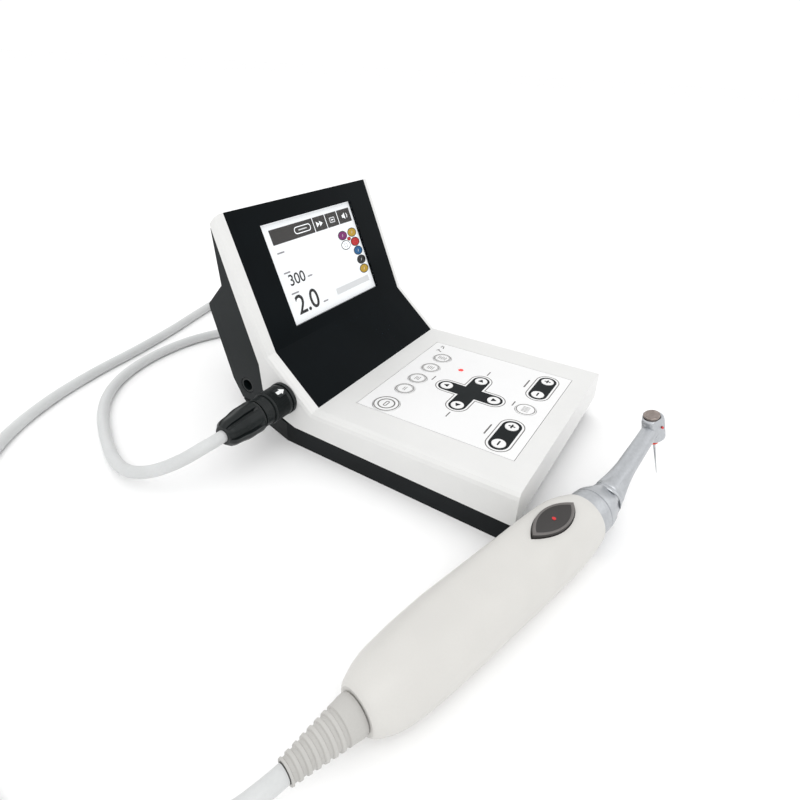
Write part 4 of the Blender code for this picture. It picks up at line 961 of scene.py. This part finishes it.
def almond(share):
    """The button's pointed oval, scaled about its middle."""
    half_length, half_width = 13.0 * share, 5.4 * share
    radius = (half_length**2 + half_width**2) / (2 * half_width)
    sweep = math.degrees(math.asin(half_length / radius))
    side = arc(89.0, half_width - radius, radius, 90 - sweep, 90 + sweep, 20)
    other = arc(89.0, radius - half_width, radius, 270 - sweep, 270 + sweep, 20)
    return side[1:] + other[1:]


@step
class ENDO_OT_handle(bpy.types.Operator):
    """Build the motor handle, its cord boot and the almond-shaped button"""
    bl_idname = "endo.handle"
    bl_label = "Handle"

    def execute(self, context):
        self.make_shell()
        self.make_boot()
        self.make_button()
        return {"FINISHED"}

    def make_shell(self):
        rings = []
        first, last, spans = 1.2, 110.8, 72
        body = [first + (last - first) * k / spans for k in range(spans + 1)]
        places = [0, 0.3, 0.7, *body, 111.3, 111.7, 112]
        for place in places:
            half, above, below = blurred(HANDLE_SECTIONS, place, 4.0)
            flat = min(max((place - 14) / 20, 0.0), 1.0) * min(max((111 - place) / 12, 0.0), 1.0)
            ring = []
            for i in range(96):
                angle = 2 * math.pi * i / 96
                u, v = math.cos(angle), math.sin(angle)
                power = 2.0 + 0.7 * flat * max(v, 0.0)
                scale = (abs(u) ** power + abs(v) ** power) ** (-1 / power)
                ring.append((place, half * u * scale, (above if v > 0 else below) * v * scale))
            rings.append(ring)
        for place, radius in ((112, 9.95), (93, 9.95), (93, 2.2), (0, 2.2)):
            rings.append([(place, u, v) for u, v in circle(0, 0, radius, 96)])
        pocket = bmesh.new()
        add_plate(pocket, almond(1.035), 11.3, 20.0)
        bm = cut(skin(rings, True), pocket)
        make_piece("handle_body", bm, HANDLE, [finish_of("handle_plastic")], "root",
                   ["handle_shell"])

    def make_boot(self):
        profile = [(-22.3, 3.15), (-22.3, 3.6)]
        for k in range(7):
            place = -21.0 + k * 2.4
            size = blurred([(-22.3, 3.6), (-19.0, 3.9), (-2.0, 6.2), (-0.3, 6.2)], place, 1.0)[0]
            profile += [(place - 0.75, size), (place - 0.5, size - 0.45), (place + 0.5, size - 0.42),
                        (place + 0.75, size + 0.12)]
        profile += [(-4.2, 5.85), (-2.4, 6.15), (-0.6, 6.2), (-0.3, 5.9), (-0.3, 2.9), (-22.3, 2.9)]
        bm = turned(profile, 48, ringed=True)
        make_piece("cord_boot", bm, HANDLE, [finish_of("boot_rubber")], "root",
                   ["handle_boot"], 50)

    def make_button(self):
        """A pointed oval with a raised rim whose crest carries a painted highlight, a shallow dish and a red
        dot.
        """
        rings = [[(x, y, z) for x, y in almond(share)] for share, z in
                 ((0.985, 12.3), (0.985, 14.55), (0.97, 14.85), (0.93, 15.12), (0.885, 15.18), (0.85, 15.1),
                  (0.82, 14.85), (0.78, 14.8), (0.55, 14.72), (0.3, 14.66), (0.1, 14.64))]
        bm = skin(rings)
        bm.faces.ensure_lookup_table()
        # Faces on the crest of the raised rim take the lighter grey, a painted highlight where the rim
        # catches the light.
        for face in bm.faces:
            middle = face.calc_center_median()
            face.material_index = 1 if middle.z > 14.5 and any(
                vert.co.z > 15.05 for vert in face.verts) else 0
        add_plate(bm, circle(89.0, 0.0, 0.75, 24), 14.6, 14.78, index=2)
        finishes = [finish_of(name) for name in ("button_rubber", "button_rim_highlight", "red_mark")]
        make_piece("button_pad", bm, HANDLE, finishes, "handle_switch",
                   ["handle_button"], 50)


@step
class ENDO_OT_contra_angle(bpy.types.Operator):
    """Build the contra-angle's sleeve, neck, head and push cap"""
    bl_idname = "endo.contra_angle"
    bl_label = "Contra-angle"

    def execute(self, context):
        metal = finish_of("satin_metal")
        self.make_sleeve(metal)
        self.make_neck(metal)
        rim = [(5.35, 3.62), (6.6, 3.65), (6.95, 3.6), (7.14, 3.4), (7.2, 3.1), (7.14, 2.85),
               (6.95, 2.7), (6.9, 2.3), (6.86, 1.2), (6.85, 0.3)]
        bm = turned([(CAP_STEM_LOW, 0.3), (CAP_STEM_LOW, 2.15), (5.2, 2.15), (5.2, 3.4), *rim], 56, "Z")
        make_piece("push_button_cap", bm, HEAD, [finish_of("cap_steel")], "head_cap",
                   ["push_cap"], 50)
        return {"FINISHED"}

    def make_sleeve(self, metal):
        """The sleeve ends on the mitre plane at the bend."""
        def arches(place, angle):
            rise = min(max((place - 119.6) / 7.5, 0.0), 1.0)
            wave = abs(math.cos(3 * angle))
            return 1.0 - 0.13 * rise * max(wave - 0.3 - 0.6 * (1 - rise), 0.0) / 0.7

        outer = [(112.3, 9.2), (112.5, 9.5), (113.0, 9.6), (118.3, 9.55), (118.6, 9.45), (118.75, 9.1),
                 (119.25, 9.1), (119.4, 9.35), (120.2, 9.4), (121.5, 9.25), (124.0, 8.85), (125.8, 8.35),
                 (127.5, 7.65), (129.0, 7.05), (130.0, 7.0), (131.5, 7.0)]
        bore = [(131.5, 5.6), (122.6, 5.6), (122.6, 7.3), (112.3, 7.3)]
        bm = turned(outer + bore, 96, shape=arches, ringed=True)
        lean = math.tan(math.radians(11))
        for vert in bm.verts:
            if vert.co.x > 128.6:
                vert.co.x = min(vert.co.x, 129.85) - vert.co.z * lean * (1.0 if vert.co.x > 129.5 else 0.6)
        make_piece("sleeve_body", bm, CONTRA, [metal], "contra_angle", ["contra_sleeve"], 40)

    def make_neck(self, metal):
        def scallops(place, angle):
            rise = min(max((place - 3.6) / 2.0, 0.0), 1.0) * min(max((15.5 - place) / 9.0, 0.0), 1.0)
            return 1.0 - 0.19 * rise * max(abs(math.cos(2 * angle + 0.6)) - 0.5, 0.0) / 0.5

        table = [(-1.6, 6.9), (1.0, 6.6), (3.0, 6.4), (10.0, 5.0), (17.0, 4.1), (34.0, 3.7), (42.0, 3.7)]
        places = [-1.4 + 43.0 * k / 60 for k in range(61)]
        profile = [(place, blurred(table, place, 2.0)[0] - (0.35 if 2.4 < place < 3.4 else 0.0))
                   for place in places]
        bm = turned([*profile, (41.6, 1.7), (-1.4, 1.7)], 96, shape=scallops, ringed=True)
        lean = math.tan(math.radians(11))
        for vert in bm.verts:
            if vert.co.x < 0.8:
                share = min((0.8 - vert.co.x) / 2.2, 1.0)
                vert.co.x = 0.8 - share * 0.65 + share * vert.co.z * lean
        head = [(-6.0, 2.0), (-6.0, 3.9), (-5.6, 4.4), (-4.8, 5.05), (-4.2, 5.2), (-2.6, 5.2), (-2.4, 5.05),
                (-2.0, 5.05), (-1.8, 5.2), (4.6, 5.2), (5.3, 5.1), (5.8, 4.75), (6.0, 4.4), (6.0, 3.85),
                (4.9, 3.75), (4.9, 2.0)]
        top = turned(head, 96, "Z", ringed=True)
        flatten(top, (4.75, 0, 0), (1, 0.0, 0.05))
        flatten(top, (0, 4.8, 0), (-0.35, 1, 0.1))
        flatten(top, (0, -4.8, 0), (-0.35, -1, 0.1))
        to_neck = Matrix.Translation((44, 0, 0)) @ Matrix.Rotation(math.radians(10), 4, "Y")
        dot = bmesh.new()
        add_plate(dot, circle(0, 0, 0.62, 24), 0.0, 0.16)
        facing = Vector((-0.35, -1, 0.1)).normalized().to_track_quat("Z", "Y").to_matrix().to_4x4()
        spot = Matrix.Translation((-0.4, -4.78, 1.6)) @ facing
        add_mesh(bm, top, 0, to_neck)
        add_mesh(bm, dot, 1, to_neck @ spot)
        make_piece("neck_and_head_body", bm, NECK, [metal, finish_of("red_mark")], "contra_angle",
                   ["neck_and_head"], 32)


@step
class ENDO_OT_file(bpy.types.Operator):
    """Build the fluted file and its stopper"""
    bl_idname = "endo.file"
    bl_label = "File"

    def execute(self, context):
        tip = context.scene.endo_sizes.file_tip / MM
        rings = []
        steps = 150
        for k in range(steps + 1):
            share = k / steps
            z = -27.0 + share * 16.0
            size = tip + (0.58 - tip) * share if z > -26.6 else tip * (z + 27.0) / 0.4 + 0.02
            turn = share * 2 * math.pi * 7
            ring = []
            for i in range(24):
                angle = 2 * math.pi * i / 24
                flute = 1.0 - 0.34 * (0.5 - 0.5 * math.cos(3 * angle)) * (1.0 if z < -12.0 else (-11.0 - z))
                ring.append((size * flute * math.cos(angle + turn), size * flute * math.sin(angle + turn), z))
            rings.append(ring)
        for z, size in ((-10.9, 0.6), (-8.0, 0.62), (-6.6, 0.66), (-6.3, 1.17), (-3.0, 1.17), (3.0, 1.17)):
            rings.append([(u, v, z) for u, v in circle(0, 0, size, 24)])
        make_piece("fluted_file", skin(rings), HEAD, [finish_of("file_steel")], "file_spindle",
                   ["endo_file"], 60)
        stopper = [(-8.8, 0.95), (-8.8, 1.55), (-8.65, 1.75), (-8.0, 1.88), (-7.95, 1.55), (-7.75, 1.5),
                   (-7.7, 1.85), (-7.05, 1.88), (-6.9, 1.7), (-6.9, 0.95)]
        bm = turned(stopper, 40, "Z", ringed=True)
        make_piece("stopper_ring", bm, HEAD, [finish_of("stopper_silicone")], "stopper",
                   ["file_stopper"], 50)
        return {"FINISHED"}


class ENDO_PT_panel(bpy.types.Panel):
    """Sidebar panel with the steps, the colours and the sizes"""
    bl_idname = "ENDO_PT_panel"
    bl_label = "Endodontic motor"
    bl_space_type = "VIEW_3D"
    bl_region_type = "UI"
    bl_category = "Endodontic motor"

    def draw(self, context):
        for operator in STEPS:
            self.layout.operator(operator.bl_idname)
        for group in (context.scene.endo_colours, context.scene.endo_sizes):
            for name in group.__annotations__:
                self.layout.prop(group, name)


CLASSES = [EndoColours, EndoSizes, *STEPS, ENDO_PT_panel]


def register():
    for item in CLASSES:
        bpy.utils.register_class(item)
    bpy.types.Scene.endo_colours = bpy.props.PointerProperty(type=EndoColours)
    bpy.types.Scene.endo_sizes = bpy.props.PointerProperty(type=EndoSizes)


def unregister():
    del bpy.types.Scene.endo_colours
    del bpy.types.Scene.endo_sizes
    for item in reversed(CLASSES):
        bpy.utils.unregister_class(item)


def main():
    register()
    for operator in STEPS:
        group, name = operator.bl_idname.split(".")
        getattr(getattr(bpy.ops, group), name)()


if __name__ == "__main__":
    main()
